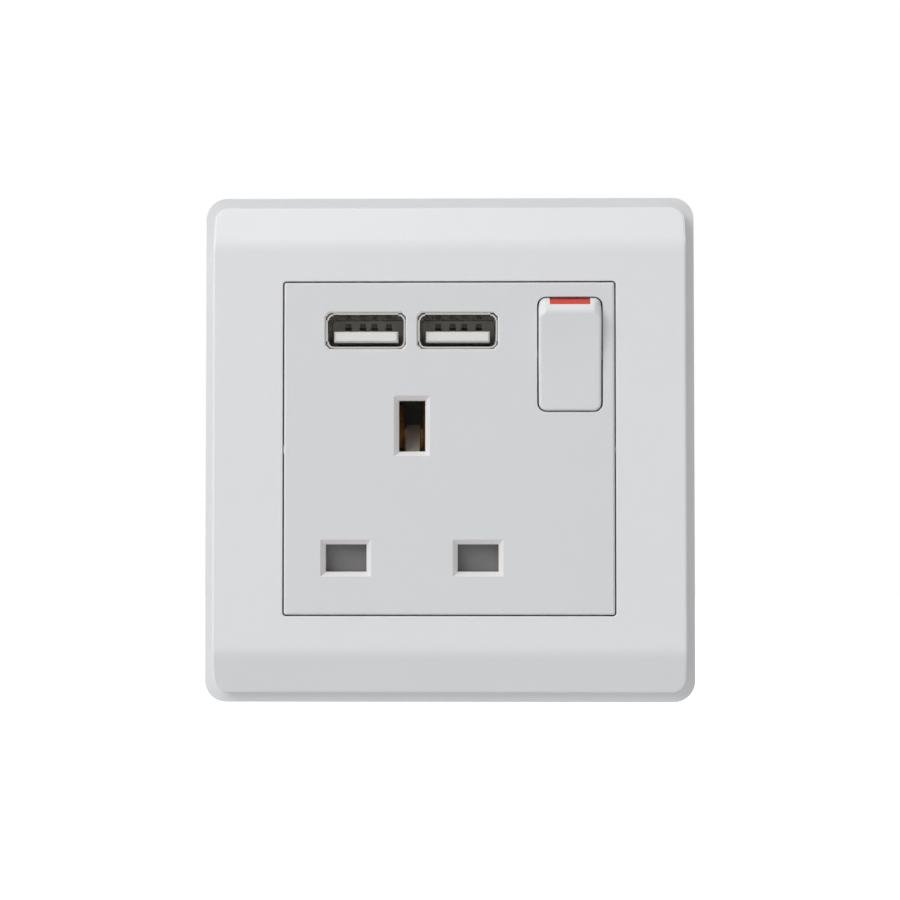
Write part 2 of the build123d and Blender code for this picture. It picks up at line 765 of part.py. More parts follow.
def make_shutter():
    """Sliding shutter: two blanking plates, a crossbar, a stem and the earth pin's ramp."""
    span = (SHUTTER_FRONT, SHUTTER_BACK)
    half_width = LOWER_WINDOW[0] / 2 + SHUTTER_SIDE
    half_height = LOWER_WINDOW[1] / 2 + SHUTTER_COVER
    low = LOWER_Z - half_height
    crossbar = LOWER_Z + CROSSBAR_TOP
    shutter = bar((NEUTRAL_X, LIVE_X), span, (low, crossbar))
    for x in (NEUTRAL_X, LIVE_X):
        shutter += bar((x - half_width, x + half_width), span, (low, LOWER_Z + half_height))
    foot = EARTH_Z - RAMP_FOOT
    stem = (EARTH_X - STEM_WIDTH / 2, EARTH_X + STEM_WIDTH / 2)
    shutter += bar(stem, span, (crossbar, foot - SHELF_DROP))
    crest = foot + SHUTTER_TRAVEL + RAMP_LEAD
    ramp_back = SHUTTER_FRONT + RAMP_DEPTH
    ramp = polygon(
        (SHUTTER_FRONT, foot),
        (ramp_back, crest),
        (ramp_back + RAMP_BACK, crest),
        (ramp_back + RAMP_BACK, foot + RAMP_BACK),
        (SHUTTER_BACK, foot - SHELF_DROP),
        (SHUTTER_FRONT, foot - SHELF_DROP),
    )
    shutter += slab(ramp, EARTH_X - RAMP_WIDTH / 2, EARTH_X + RAMP_WIDTH / 2)
    rest = spring_rest()
    shelf_back = rest["y"] + spring_half()
    return shutter + bar(stem, (SHUTTER_BACK, shelf_back), (rest["top"], rest["top"] + SHELF))


def spring_half():
    """Half the thickness of the shelf and wall that hold the shutter's spring."""
    return SHUTTER_COIL + SHUTTER_WIRE / 2 + SHUTTER_PLAY


def spring_rest():
    """Where the shutter's spring stands: its axis depth and its two seats."""
    top = EARTH_Z - RAMP_FOOT - SHELF_DROP - SHELF
    bottom = LOWER_Z + LOWER_WINDOW[1] / 2 + SHUTTER_COVER
    return {"y": SHUTTER_BACK + SHUTTER_PLAY + spring_half(), "top": top, "bottom": bottom}


def make_shutter_spring():
    """Coil between the housing's spring wall and the shutter's shelf."""
    rest = spring_rest()
    spring = coil(SHUTTER_COIL, SHUTTER_WIRE, SHUTTER_TURNS, rest["top"] - rest["bottom"])
    return Pos(EARTH_X, rest["y"], rest["bottom"]) * spring


def clip_outline(front, back):
    """Plan of a folded spring clip: two leaves that narrow to a grip and flare at the mouth."""
    grip = front + GRIP_BACK
    waist = grip + GRIP_BACK
    inner = [(back - SHEET, CLIP_HALF), (waist, GRIP_HALF), (grip, GRIP_HALF), (front, FLARE_HALF)]
    outer = [(front, FLARE_HALF + SHEET), (grip, GRIP_HALF + SHEET), (waist, GRIP_HALF + SHEET)]
    outer.append((back, CLIP_HALF + SHEET))
    leaf = inner + outer
    other = [(y, -offset_out) for y, offset_out in reversed(leaf)]
    return polygon(*leaf, *other)


def lower_clip(x):
    """A live or neutral clip, which grips its pin above and below."""
    outline = Pos(0, LOWER_Z) * clip_outline(LOWER_CLIP_FRONT, LOWER_CLIP_BACK)
    return slab(outline, x - LOWER_CLIP_WIDTH / 2, x + LOWER_CLIP_WIDTH / 2)


def lower_contact(x):
    """A lower clip with the link that rises from its base."""
    link = (x - LINK_WIDTH / 2, x + LINK_WIDTH / 2)
    base = (LOWER_CLIP_BACK - SHEET, LOWER_CLIP_BACK)
    return lower_clip(x) + bar(link, base, (LOWER_Z, link_top()))


def make_earth_contact():
    """Earth clip, which grips its pin from the sides, open above its base, with a link down."""
    outline = Rot(0, 0, 90) * clip_outline(EARTH_CLIP_FRONT, EARTH_CLIP_BACK)
    low = EARTH_Z - EARTH_CLIP_WIDTH / 2
    high = low + EARTH_CLIP_WIDTH
    clip = shelf(Pos(EARTH_X, 0) * outline, low, high)
    link = (EARTH_X - LINK_WIDTH / 2, EARTH_X + LINK_WIDTH / 2)
    base = (EARTH_CLIP_BACK - SHEET, EARTH_CLIP_BACK)
    clip -= bar((EARTH_X - CLIP_HALF, EARTH_X + CLIP_HALF), base, (EARTH_Z + EARTH_BASE_TOP, high))
    return clip + bar(link, base, (EARTH_TERMINAL_Z + TERMINAL / 2, EARTH_Z))


def wire_hole(x, z, way, section, start, end):
    """A straight hole along the way that a terminal's wire comes in."""
    across, up = way
    axis = Vector(across, 0, up)
    origin = Vector(x, WIRE_Y, z) + axis * start
    return extrude(Plane(origin=origin, x_dir=(0, 1, 0), z_dir=axis) * section, end - start)


def make_terminal(name):
    """Brass clamp block with a wire bore and a tapped hole from the back."""
    x, z, way = TERMINALS[name]
    half = TERMINAL / 2
    block = bar((x - half, x + half), (TERMINAL_Y, TERMINAL_BACK), (z - half, z + half))
    block = chamfer(block.edges().filter_by(Axis.Y), TERMINAL_EDGE)
    block -= wire_hole(x, z, way, Circle(WIRE_BORE), -half, half)
    return block - rod(x, z, CLAMP_RADIUS + CLAMP_PLAY, WIRE_Y, TERMINAL_BACK)


def make_live_terminal():
    """Live block with the forward post whose ridge carries the seesaw."""
    shoulder = ARM_Y + POST_HEIGHT / 2
    post = polygon(
        (TERMINAL_Y, -POST_HEIGHT / 2),
        (TERMINAL_Y, POST_HEIGHT / 2),
        (shoulder, POST_HEIGHT / 2),
        (ARM_Y, RIDGE_RADIUS),
        (ARM_Y, -RIDGE_RADIUS),
        (shoulder, -POST_HEIGHT / 2),
    )
    post += Pos(ARM_Y, 0) * Circle(RIDGE_RADIUS)
    post = slab(Pos(0, SWITCH_Z) * post, SWITCH_X - POST_WIDTH / 2, SWITCH_X + POST_WIDTH / 2)
    return make_terminal("live") + post


def clamp_screw(x, z):
    """Headless slotted clamp screw, backed off clear of the wire bore."""
    screw_back = TERMINAL_BACK + CLAMP_PROUD
    screw = rod(x, z, CLAMP_RADIUS, WIRE_Y + WIRE_BORE, screw_back)
    slot = Pos(x, z) * Rectangle(SLOT, 2 * CLAMP_RADIUS)
    return screw - prism(slot, screw_back - SLOT_DEPTH, screw_back)


def housing_screw(x, z):
    """Screw, deep in its counterbore, that holds the rear housing to the face panel."""
    seat = JOIN_Y + SCREW_SEAT
    screw = rod(x, z, SCREW_RADIUS, seat - SCREW_LENGTH, seat)
    return screw + rod(x, z, SCREW_HEAD, seat, seat + SCREW_HEAD_HEIGHT)


def terminal_well(x, z):
    """A square well on the housing's floor that a terminal block sits in."""
    size = TERMINAL + 2 * (WELL_PLAY + WELL_WALL)
    return prism(Pos(x, z) * Rectangle(size, size), TERMINAL_BACK - WELL_DEPTH, FLOOR_Y)


def well_cut(x, z):
    """The room for a block in its well and the screwdriver hole behind it."""
    size = TERMINAL + 2 * WELL_PLAY
    pocket = prism(Pos(x, z) * Rectangle(size, size), TERMINAL_BACK - WELL_DEPTH, TERMINAL_BACK)
    return pocket + rod(x, z, WELL_HOLE, TERMINAL_BACK, BACK_Y)


def contact_rests():
    """Posts on the floor that carry the live clip, the earth clip and the shutter's spring."""
    post = Rectangle(REST, REST)
    rests = prism(Pos(LIVE_X, LOWER_Z) * post, LOWER_CLIP_BACK, FLOOR_Y)
    earth_rest = EARTH_Z + EARTH_BASE_TOP - REST / 2
    rests += prism(Pos(EARTH_X, earth_rest) * post, EARTH_CLIP_BACK, FLOOR_Y)
    spring_wall = Pos(EARTH_X, spring_rest()["bottom"] - RIB / 2) * Rectangle(REST, RIB)
    return rests + prism(spring_wall, SHUTTER_BACK + SHUTTER_PLAY, FLOOR_Y)


def board_limits():
    """Left, right, low and high limits of the circuit board."""
    left = -MODULE_WIDTH / 2 + WALL + BOARD_EDGE_PLAY
    right = PARTITION_X - PARTITION / 2 - BOARD_EDGE_PLAY
    low = EARTH_Z + EARTH_WINDOW[1] / 2 + BOARD_ABOVE_EARTH
    high = MODULE_HEIGHT / 2 - WALL - BOARD_TOP_PLAY
    return left, right, low, high


def board_rests():
    """Partition beside the switch, and the two ledges that carry the circuit board."""
    left, right, low, _ = board_limits()
    board_back = BOARD_Y + BOARD
    strap_back = fixed_tip_y() + TIP_HEIGHT + STRAP
    rests = bar(
        (PARTITION_X - PARTITION / 2, PARTITION_X + PARTITION / 2),
        (strap_back, FLOOR_Y),
        (link_top(), fixed_tip_z() - STRAP_PAD / 2),
    )
    ledge_z = (low + BOARD_EDGE_PLAY, low + BOARD_EDGE_PLAY + LEDGE_REST_HEIGHT)
    rests += bar((-MODULE_WIDTH / 2 + WALL / 2, left + LEDGE_REST), (board_back, FLOOR_Y), ledge_z)
    return rests + bar((right - LEDGE_REST, PARTITION_X), (board_back, FLOOR_Y), ledge_z)


def make_rear_housing():
    """Rear moulding: walls, floor, screw columns, terminal wells, wire entries and inner rests."""
    shell_form = prism(module_outline(), JOIN_Y, BACK_Y)
    shell_form = chamfer(shell_form.faces().sort_by(Axis.Y)[-1].edges(), HOUSING_EDGE)
    housing = shell_form - prism(module_outline(-WALL), JOIN_Y, FLOOR_Y)
    added = contact_rests() + board_rests()
    for place in SCREW_PLACES:
        added += prism(Pos(place) * Rectangle(COLUMN, COLUMN) & module_outline(), JOIN_Y, FLOOR_Y)
    for x, z, _ in TERMINALS.values():
        added += terminal_well(x, z)
    housing += added
    for x, z in SCREW_PLACES:
        housing -= rod(x, z, SCREW_RADIUS + SCREW_PLAY, JOIN_Y, BACK_Y)
        housing -= rod(x, z, SCREW_HEAD + SCREW_PLAY, JOIN_Y + SCREW_SEAT, BACK_Y)
    entry = Rectangle(2 * WIRE_ENTRY, 2 * WIRE_ENTRY)
    for x, z, way in TERMINALS.values():
        housing -= well_cut(x, z)
        housing -= wire_hole(x, z, way, entry, TERMINAL / 2, MODULE_WIDTH)
    return housing


def make_usb_shell(x):
    """Folded port shell: a thin rectangular tube whose mouth is cut at the corners and flared."""
    width, height = USB_THROAT
    back = BOARD_Y
    mouth = USB_FRONT + USB_FLARE_DEPTH
    shell = prism(usb_ring(USB_SHEET), mouth, back) - prism(usb_ring(0), mouth, back)
    shell += tapered(usb_ring(USB_SHEET), USB_FRONT, mouth, -USB_FLARE)
    shell -= tapered(usb_ring(0), USB_FRONT, mouth, -USB_FLARE)
    half_x = width / 2
    half_z = height / 2
    for side in SIDES:
        for end in SIDES:
            corner = Pos(side * half_x, end * half_z) * Rectangle(2 * USB_NOTCH, 2 * USB_NOTCH)
            shell -= prism(corner, USB_FRONT, mouth)
    return Pos(x, 0, USB_Z) * shell


def make_usb_insulator(x):
    """Port block: a rear body that fills the tube and a tongue, with four contact cavities."""
    width, height = USB_THROAT
    body_front = USB_FRONT + USB_FLARE_DEPTH + TONGUE_LENGTH
    body = prism(chamfered(width - 2 * USB_FIT, height - 2 * USB_FIT, USB_CORNER), body_front, BOARD_Y)
    tongue = prism(Pos(0, -TONGUE_DROP) * Rectangle(*TONGUE), USB_FRONT + USB_FLARE_DEPTH, body_front)
    tongue = chamfer(tongue.faces().sort_by(Axis.Y)[0].edges(), TONGUE_EDGE)
    block = body + tongue
    top = TONGUE[1] / 2 - TONGUE_DROP
    for place in USB_CONTACT_X:
        cavity = Pos(place, top + USB_CAVITY[1] / 2) * Rectangle(*USB_CAVITY)
        block -= prism(cavity, body_front, body_front + USB_CAVITY_DEPTH)
    return Pos(x, 0, USB_Z) * block


def make_usb_contacts(x):
    """Four contact strips that lie on the tongue and run back into their cavities."""
    front = USB_FRONT + USB_FLARE_DEPTH + USB_CONTACT_BACK
    back = USB_FRONT + USB_FLARE_DEPTH + TONGUE_LENGTH + USB_CAVITY_DEPTH
    top = USB_Z + TONGUE[1] / 2 - TONGUE_DROP
    half = USB_CONTACT_WIDTH / 2
    strips = []
    for place in USB_CONTACT_X:
        middle = x + place
        strips.append(bar((middle - half, middle + half), (front, back), (top, top + USB_CONTACT_THICK)))
    return Compound(children=strips)


def make_charger_board():
    """Circuit board behind the ports, notched round the upper screw column."""
    left, right, low, high = board_limits()
    notch = COLUMN / 2 + BOARD_EDGE_PLAY
    notch_right = notch - SCREW_X
    notch_low = SCREW_Z - notch
    outline = polygon(
        (left, low),
        (right, low),
        (right, high),
        (notch_right, high),
        (notch_right, notch_low),
        (left, notch_low),
    )
    return prism(outline, BOARD_Y, BOARD_Y + BOARD)


def board_places():
    """Places of the parts on the back of the circuit board."""
    left, _, low, high = board_limits()
    middle = (low + high) / 2
    input_x = left + LEDGE_REST + PART_GAP + INPUT_CAP[0] / 2
    transformer_x = input_x + INPUT_CAP[0] / 2 + PART_GAP + CORE[0] / 2
    chip_step = CHIP[0] + PART_GAP
    output_x = transformer_x + CORE[0] / 2 + PART_GAP + CHIP[0] + PART_GAP / 2
    chip_z = low + PART_GAP + CHIP[2] / 2
    return {
        "input": (input_x, low + LEDGE_REST + LEAD_RADIUS + PART_GAP + INPUT_CAP[2] / 2),
        "transformer": (transformer_x, middle),
        "output": (output_x, chip_z + CHIP[2] / 2 + PART_GAP + OUTPUT_CAP[0]),
        "rectifier": (output_x - chip_step / 2, chip_z),
        "controller": (output_x + chip_step / 2, chip_z),
    }


def make_transformer_core():
    """Pair of E cores: a closed frame with a middle leg."""
    x, z = board_places()["transformer"]
    back = BOARD_Y + BOARD
    width, depth, height = CORE
    window_width = (width - CORE_LEG) / 2 - CORE_LIMB
    outline = Pos(0, back + depth / 2) * Rectangle(width, depth)
    for side in SIDES:
        place = side * (CORE_LEG + window_width) / 2
        outline -= Pos(place, back + depth / 2) * Rectangle(window_width, depth - 2 * CORE_LIMB)
    return shelf(Pos(x, 0) * outline, z - height / 2, z + height / 2)


def make_transformer_winding():
    """Wound bobbin round the core's middle leg."""
    x, z = board_places()["transformer"]
    back = BOARD_Y + BOARD
    front = back + CORE_LIMB + WINDING_PLAY
    rear = back + CORE[1] - CORE_LIMB - WINDING_PLAY
    outline = chamfered(*WINDING, CORE_LIMB)
    outline -= Rectangle(CORE_LEG + 2 * WINDING_PLAY, CORE[2] + 2 * WINDING_PLAY)
    return prism(Pos(x, z) * outline, front, rear)


def make_output_capacitor():
    """Round capacitor can standing on the board."""
    radius, length = OUTPUT_CAP
    back = BOARD_Y + BOARD
    return rod(*board_places()["output"], radius, back, back + length)


def board_block(name, size):
    """Moulded block component standing on the board."""
    width, depth, height = size
    back = BOARD_Y + BOARD
    block = prism(Pos(board_places()[name]) * Rectangle(width, height), back, back + depth)
    return chamfer(block.faces().sort_by(Axis.Y)[-1].edges(), CHIP_EDGE)


def lead(*points):
    """Short stiff insulated wire: straight runs with mitred corners."""
    path = Polyline(*points)
    section = Plane(origin=path @ 0, z_dir=path % 0) * RegularPolygon(LEAD_RADIUS, LEAD_SIDES)
    return sweep(section, path, transition=Transition.RIGHT)


def make_live_lead():
    """Wire from the board's front to the strap beside the switch."""
    _, right, low, _ = board_limits()
    left, strap_right = strap_span_x()
    x = right - LEDGE_REST
    z = low + LEDGE_REST
    stand = BOARD_Y - LEAD_STAND
    strap_front = fixed_tip_y() + TIP_HEIGHT
    strap_x = (left + strap_right) / 2
    return lead((x, BOARD_Y, z), (x, stand, z), (strap_x, stand, z), (strap_x, strap_front, z))


def make_neutral_lead():
    """Wire from the board's back down to the neutral contact's link."""
    _, _, low, _ = board_limits()
    link_front = LOWER_CLIP_BACK - SHEET
    y = link_front - LEAD_RADIUS - WINDING_PLAY
    z = low + LEDGE_REST
    end = link_top() - LINK_RISE / 2
    return lead((NEUTRAL_X, BOARD_Y + BOARD, z), (NEUTRAL_X, y, z), (NEUTRAL_X, y, end))


def make_pieces():
    """Every piece by its node name."""
    rocker, on_flag = make_rocker_pair()
    pieces = {
        "back_frame": make_back_frame(),
        "cover_frame": make_cover_frame(),
        "face_panel": make_face_panel(),
        "rear_housing": make_rear_housing(),
        "housing_screws": Compound(children=[housing_screw(x, z) for x, z in SCREW_PLACES]),
        "rocker": rocker,
        "on_flag": on_flag,
        "plunger": make_plunger(),
        "plunger_spring": make_plunger_spring(),
        "contact_arm": make_contact_arm(),
        "moving_tip": make_moving_tip(),
        "fixed_tip": make_fixed_tip(),
        "switched_live_strap": make_switched_live_strap(),
        "shutter": make_shutter(),
        "shutter_spring": make_shutter_spring(),
        "live_contact": lower_contact(LIVE_X),
        "neutral_contact": lower_contact(NEUTRAL_X),
        "earth_contact": make_earth_contact(),
        "live_terminal": make_live_terminal(),
        "neutral_terminal": make_terminal("neutral"),
        "earth_terminal": make_terminal("earth"),
        "terminal_screws": Compound(children=[clamp_screw(x, z) for x, z, _ in TERMINALS.values()]),
        "charger_board": make_charger_board(),
        "transformer_core": make_transformer_core(),
        "transformer_winding": make_transformer_winding(),
        "input_capacitor": board_block("input", INPUT_CAP),
        "output_capacitor": make_output_capacitor(),
        "bridge_rectifier": board_block("rectifier", CHIP),
        "controller_chip": board_block("controller", CHIP),
        "live_lead": make_live_lead(),
        "neutral_lead": make_neutral_lead(),
    }
    for side, x in zip(("left", "right"), USB_X):
        pieces[f"usb_shell_{side}"] = make_usb_shell(x)
        pieces[f"usb_insulator_{side}"] = make_usb_insulator(x)
        pieces[f"usb_contacts_{side}"] = make_usb_contacts(x)
    return pieces


os.makedirs("parts", exist_ok=True)
for node, piece in make_pieces().items():
    export_step(piece, f"parts/{node}.step")
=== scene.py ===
import bpy
import numpy as np
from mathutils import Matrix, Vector


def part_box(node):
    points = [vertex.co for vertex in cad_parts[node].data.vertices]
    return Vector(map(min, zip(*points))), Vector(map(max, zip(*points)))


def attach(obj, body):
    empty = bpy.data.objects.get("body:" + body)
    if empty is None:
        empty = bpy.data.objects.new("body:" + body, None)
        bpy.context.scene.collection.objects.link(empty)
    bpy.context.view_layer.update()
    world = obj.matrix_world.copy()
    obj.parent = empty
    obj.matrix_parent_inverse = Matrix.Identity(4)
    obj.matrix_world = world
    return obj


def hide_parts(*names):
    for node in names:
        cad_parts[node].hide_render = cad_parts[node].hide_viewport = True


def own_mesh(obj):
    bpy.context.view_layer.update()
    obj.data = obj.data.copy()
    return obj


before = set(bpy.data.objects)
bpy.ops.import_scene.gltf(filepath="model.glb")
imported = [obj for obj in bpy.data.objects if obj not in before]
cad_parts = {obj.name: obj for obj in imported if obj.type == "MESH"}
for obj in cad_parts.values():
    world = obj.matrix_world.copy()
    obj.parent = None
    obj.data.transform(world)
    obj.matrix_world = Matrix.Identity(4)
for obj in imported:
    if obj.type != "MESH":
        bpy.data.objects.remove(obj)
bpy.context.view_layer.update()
scene = bpy.context.scene
scene.view_settings.view_transform = "Standard"

MM = 0.001
NOISE_RANGE = (0.3, 0.7)


class Field:
    """A value that varies over a surface: arithmetic on it adds Math nodes to its finish."""

    def __init__(self, finish, socket):
        self.finish = finish
        self.socket = socket

    def math(self, operation, first, second):
        return self.finish.node("ShaderNodeMath", {"operation": operation}, {0: first, 1: second})

    def __add__(self, other):
        return self.math("ADD", self, other)

    def __sub__(self, other):
        return self.math("SUBTRACT", self, other)

    def __rsub__(self, other):
        return self.math("SUBTRACT", other, self)

    def __mul__(self, other):
        return self.math("MULTIPLY", self, other)

    def __gt__(self, other):
        return self.math("GREATER_THAN", self, other)

    def __lt__(self, other):
        return self.math("LESS_THAN", self, other)

    def __abs__(self):
        return self.math("ABSOLUTE", self, 0.0)

    def larger(self, other):
        return self.math("MAXIMUM", self, other)

    def off_grid(self, pitch):
        """Distance from the nearest line of an even grid."""
        return self.math("PINGPONG", self, pitch / 2)

    __radd__ = __add__
    __rmul__ = __mul__


class Finish:
    """The node tree of one procedural material, or of the studio's light."""

    def __init__(self, name, owner=None):
        self.material = owner or bpy.data.materials.new(name)
        self.material.use_nodes = True
        self.tree = self.material.node_tree
        self.shader = self.tree.nodes.get("Principled BSDF")
        self.place = self.node("ShaderNodeTexCoord", output="Object")

    def node(self, kind, settings=None, sockets=None, output=0):
        made = self.tree.nodes.new(kind)
        for key, value in (settings or {}).items():
            setattr(made, key, value)
        for key, value in (sockets or {}).items():
            self.feed(made.inputs[key], value)
        return Field(self, made.outputs[output])

    def feed(self, socket, value):
        if isinstance(value, Field):
            self.tree.links.new(value.socket, socket)
        else:
            socket.default_value = value

    def set(self, **values):
        for key, value in values.items():
            self.feed(self.shader.inputs[key.replace("_", " ")], value)

    def stretched(self, scale):
        """Object coordinates scaled apart on each axis."""
        return self.node("ShaderNodeMapping", {"vector_type": "TEXTURE"},
                         {"Vector": self.place, "Scale": scale})

    def noise(self, size, detail=2.0, place=None):
        """Smooth noise from 0 to 1 whose patches are about one size across, in metres."""
        return self.node("ShaderNodeTexNoise", None,
                         {"Vector": place or self.place, "Scale": 1 / size, "Detail": detail})

    def axis(self, name):
        return self.node("ShaderNodeSeparateXYZ", None, {"Vector": self.place}, name)

    def mix(self, share, low, high):
        """A colour between two colours."""
        return self.node("ShaderNodeMix", {"data_type": "RGBA"},
                         {0: share, 6: rgba(low), 7: rgba(high)}, 2)

    def remap(self, value, low, high, to_low=0.0, to_high=1.0):
        """A value moved from one range to another and held there."""
        return self.node("ShaderNodeMapRange", None, {
            "Value": value, "From Min": low, "From Max": high, "To Min": to_low, "To Max": to_high})

    def gloss(self, noise, smooth, rough):
        """Roughness that goes from smooth to rough over the usual range of a noise."""
        self.set(Roughness=self.remap(noise, *NOISE_RANGE, smooth, rough))

    def bump(self, height, depth):
        """Relief of a depth in metres where the height field goes from 0 to 1."""
        self.set(Normal=self.node("ShaderNodeBump", None, {
            "Height": height, "Distance": depth, "Strength": 1.0}))


def rgba(shade):
    return shade if isinstance(shade, Field) else (*shade, 1.0)


def darker(shade, share):
    return tuple(channel * share for channel in shade)


SKIN = {"grain": 0.3 * MM, "depth": 0.0008 * MM, "drift": 0.985, "flow": 14 * MM,
        "flow_range": (0.2, 0.8), "cloud": 1.2 * MM, "gloss": 0.05}
PAINTED_LIGHT_DEPTHS = (0.02 * MM, 0.06 * MM)


def satin(finish, roughness, grain=SKIN["grain"], depth=SKIN["depth"]):
    """A moulding's gloss, which drifts a little over it, and the fine grain of its tool."""
    finish.set(Roughness=roughness + (finish.noise(SKIN["cloud"], 3) - 0.5) * SKIN["gloss"])
    finish.bump(finish.noise(grain, 2), depth)


def moulded(name, shade, roughness, grain=SKIN["grain"], depth=SKIN["depth"], drift=SKIN["drift"]):
    """Moulded plastic: the tool's fine grain, with a slow drift of shade and of gloss."""
    finish = Finish(name)
    flow = finish.remap(finish.noise(SKIN["flow"], 3), *SKIN["flow_range"])
    finish.set(Base_Color=finish.mix(flow, darker(shade, drift), shade))
    satin(finish, roughness, grain, depth)
    return finish.material


def panel_with_painted_bevel_light(name, front_white, bevel_light_white, roughness):
    """The front of a satin moulding, with painted light: the sloped edges of its windows, and all of it that
    lies behind the front face, take a paler white of the same plastic so that they show lighter.
    """
    finish = Finish(name)
    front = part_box("face_panel")[0][1]
    # Painted light: surfaces set back from the front face, chiefly the window bevels, take the paler white.
    painted_light_share = finish.remap(finish.axis("Y"), *(front + depth for depth in PAINTED_LIGHT_DEPTHS))
    flow = finish.noise(SKIN["flow"], 3)
    finish.set(Base_Color=finish.mix(painted_light_share, finish.mix(flow, darker(front_white, SKIN["drift"]), front_white), bevel_light_white))
    satin(finish, roughness)
    return finish.material


def spark_textured(name, shade):
    """Matt moulding from a spark-eroded tool: close pits over a slow drift of gloss."""
    finish = Finish(name)
    pits = finish.noise(0.45 * MM, 4)
    finish.set(Base_Color=finish.mix(finish.remap(pits, 0.35, 0.6), darker(shade, 0.93), shade))
    finish.gloss(finish.noise(12 * MM, 3), 0.5, 0.62)
    finish.bump(pits, 0.03 * MM)
    return finish.material


AGE = {"patch": 2.5 * MM, "bright": 0.62, "dull": 0.85, "rougher": 0.18}
DRAWN = {"line": 0.12 * MM, "rougher": 0.22, "depth": 0.002 * MM}


def drawn_metal(name, shade, dull, roughness, along, tarnish=0.0):
    """Drawn or rolled metal: fine lines along one axis, and dull patches where it has aged."""
    finish = Finish(name)
    lines = finish.noise(DRAWN["line"], 3, finish.stretched(along))
    age = finish.remap(finish.noise(AGE["patch"], 5), AGE["bright"] - tarnish, AGE["dull"] - tarnish)
    finish.set(Base_Color=finish.mix(age, shade, dull), Metallic=1.0)
    finish.set(Roughness=roughness + (lines - 0.5) * DRAWN["rougher"] + age * AGE["rougher"])
    finish.bump(lines, DRAWN["depth"])
    return finish.material


BOARD = {"face": 0.02 * MM, "kept": 0.52,
         "track_pitch": 1.27 * MM, "track_half": 0.3 * MM, "track_patch": 1.3 * MM, "track_run": 9.0,
         "pad_pitch": 2.54 * MM, "pad_radius": 0.55 * MM, "pad_patch": 4 * MM}


def etched_board(name, node):
    """Green lacquer over copper tracks, which run along the board and up it, with bright solder pads on a
    grid. Both stay on the board's two faces."""
    finish = Finish(name)
    low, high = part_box(node)
    across, up = finish.axis("X"), finish.axis("Z")
    on_face = abs(finish.axis("Y") - (low[1] + high[1]) / 2) > (high[1] - low[1]) / 2 - BOARD["face"]
    tracks = []
    for place, stretch in ((up, (BOARD["track_run"], 1.0, 1.0)), (across, (1.0, 1.0, BOARD["track_run"]))):
        line = place.off_grid(BOARD["track_pitch"]) < BOARD["track_half"]
        kept = finish.noise(BOARD["track_patch"], 0, finish.stretched(stretch)) > BOARD["kept"]
        tracks.append(line * kept)
    copper = tracks[0].larger(tracks[1]) * on_face
    off_across, off_up = across.off_grid(BOARD["pad_pitch"]), up.off_grid(BOARD["pad_pitch"])
    discs = off_across * off_across + off_up * off_up < BOARD["pad_radius"] ** 2
    pads = discs * on_face * (finish.noise(BOARD["pad_patch"], 1) > BOARD["kept"])
    lacquer = finish.mix(copper, (0.012, 0.105, 0.035), (0.03, 0.21, 0.07))
    finish.set(Base_Color=finish.mix(pads, lacquer, (0.62, 0.62, 0.60)), Metallic=pads)
    finish.gloss(finish.noise(1.2 * MM, 3), 0.22, 0.38)
    finish.bump(copper + pads, 0.03 * MM)
    return finish.material


TAPE_LAP = 2.513 * MM
WAVE_PERIOD = np.pi / 10


def taped_winding(name):
    """Glossy yellow tape wound round a bobbin, each turn lapping the one below."""
    finish = Finish(name)
    laps = finish.node("ShaderNodeTexWave",
                       {"wave_type": "BANDS", "bands_direction": "Z", "wave_profile": "SAW"},
                       {"Vector": finish.place, "Scale": WAVE_PERIOD / TAPE_LAP, "Distortion": 0.4})
    finish.set(Base_Color=finish.mix(laps, (0.55, 0.36, 0.03), (0.83, 0.60, 0.07)))
    finish.gloss(finish.noise(2 * MM, 3), 0.24, 0.4)
    finish.bump(laps, 0.06 * MM)
    return finish.material


STRIPE_HALF = 1.1 * MM


def sleeved_can(name, node):
    """A dark shrink sleeve with one pale polarity stripe down its side."""
    finish = Finish(name)
    low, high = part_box(node)
    offset = finish.axis("X") - (low[0] + high[0]) / 2
    rear = finish.axis("Y") > (low[1] + high[1]) / 2
    stripe = (abs(offset) < STRIPE_HALF) * rear
    finish.set(Base_Color=finish.mix(stripe, (0.012, 0.014, 0.03), (0.55, 0.56, 0.58)))
    finish.gloss(finish.noise(0.8 * MM, 3), 0.3, 0.45)
    finish.bump(finish.noise(1.5 * MM, 2), 0.03 * MM)
    return finish.material


DIMPLE = {"inset": 1.1 * MM, "radius": 0.5 * MM, "depth": 0.04 * MM}


def marked_chip(name, node):
    """Black moulded resin with the small round dimple that marks the first leg."""
    finish = Finish(name)
    low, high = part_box(node)
    corner = (low[0] + DIMPLE["inset"], high[1], high[2] - DIMPLE["inset"])
    reach = finish.node("ShaderNodeVectorMath", {"operation": "DISTANCE"},
                        {0: finish.place, 1: corner}, "Value")
    dimple = reach < DIMPLE["radius"]
    resin = finish.noise(0.25 * MM, 4)
    finish.set(Base_Color=finish.mix(resin, (0.008, 0.008, 0.009), (0.022, 0.022, 0.024)))
    finish.set(Roughness=finish.remap(dimple, 0, 1, 0.62, 0.3))
    finish.bump(resin * 0.15 + (1 - dimple), DIMPLE["depth"])
    return finish.material


def fired_ferrite(name):
    """Dark fired ferrite with a close dull grain."""
    finish = Finish(name)
    grain = finish.noise(0.3 * MM, 5)
    finish.set(Base_Color=finish.mix(grain, (0.02, 0.02, 0.021), (0.07, 0.07, 0.072)))
    finish.gloss(grain, 0.45, 0.7)
    finish.bump(grain, 0.02 * MM)
    return finish.material


EARTH = {"x": -6.26 * MM, "z": 3.77 * MM}
RAMP_LIGHT = {"full": 1.1 * MM, "none": 1.9 * MM, "below": 3.8 * MM, "above": 1.0 * MM}


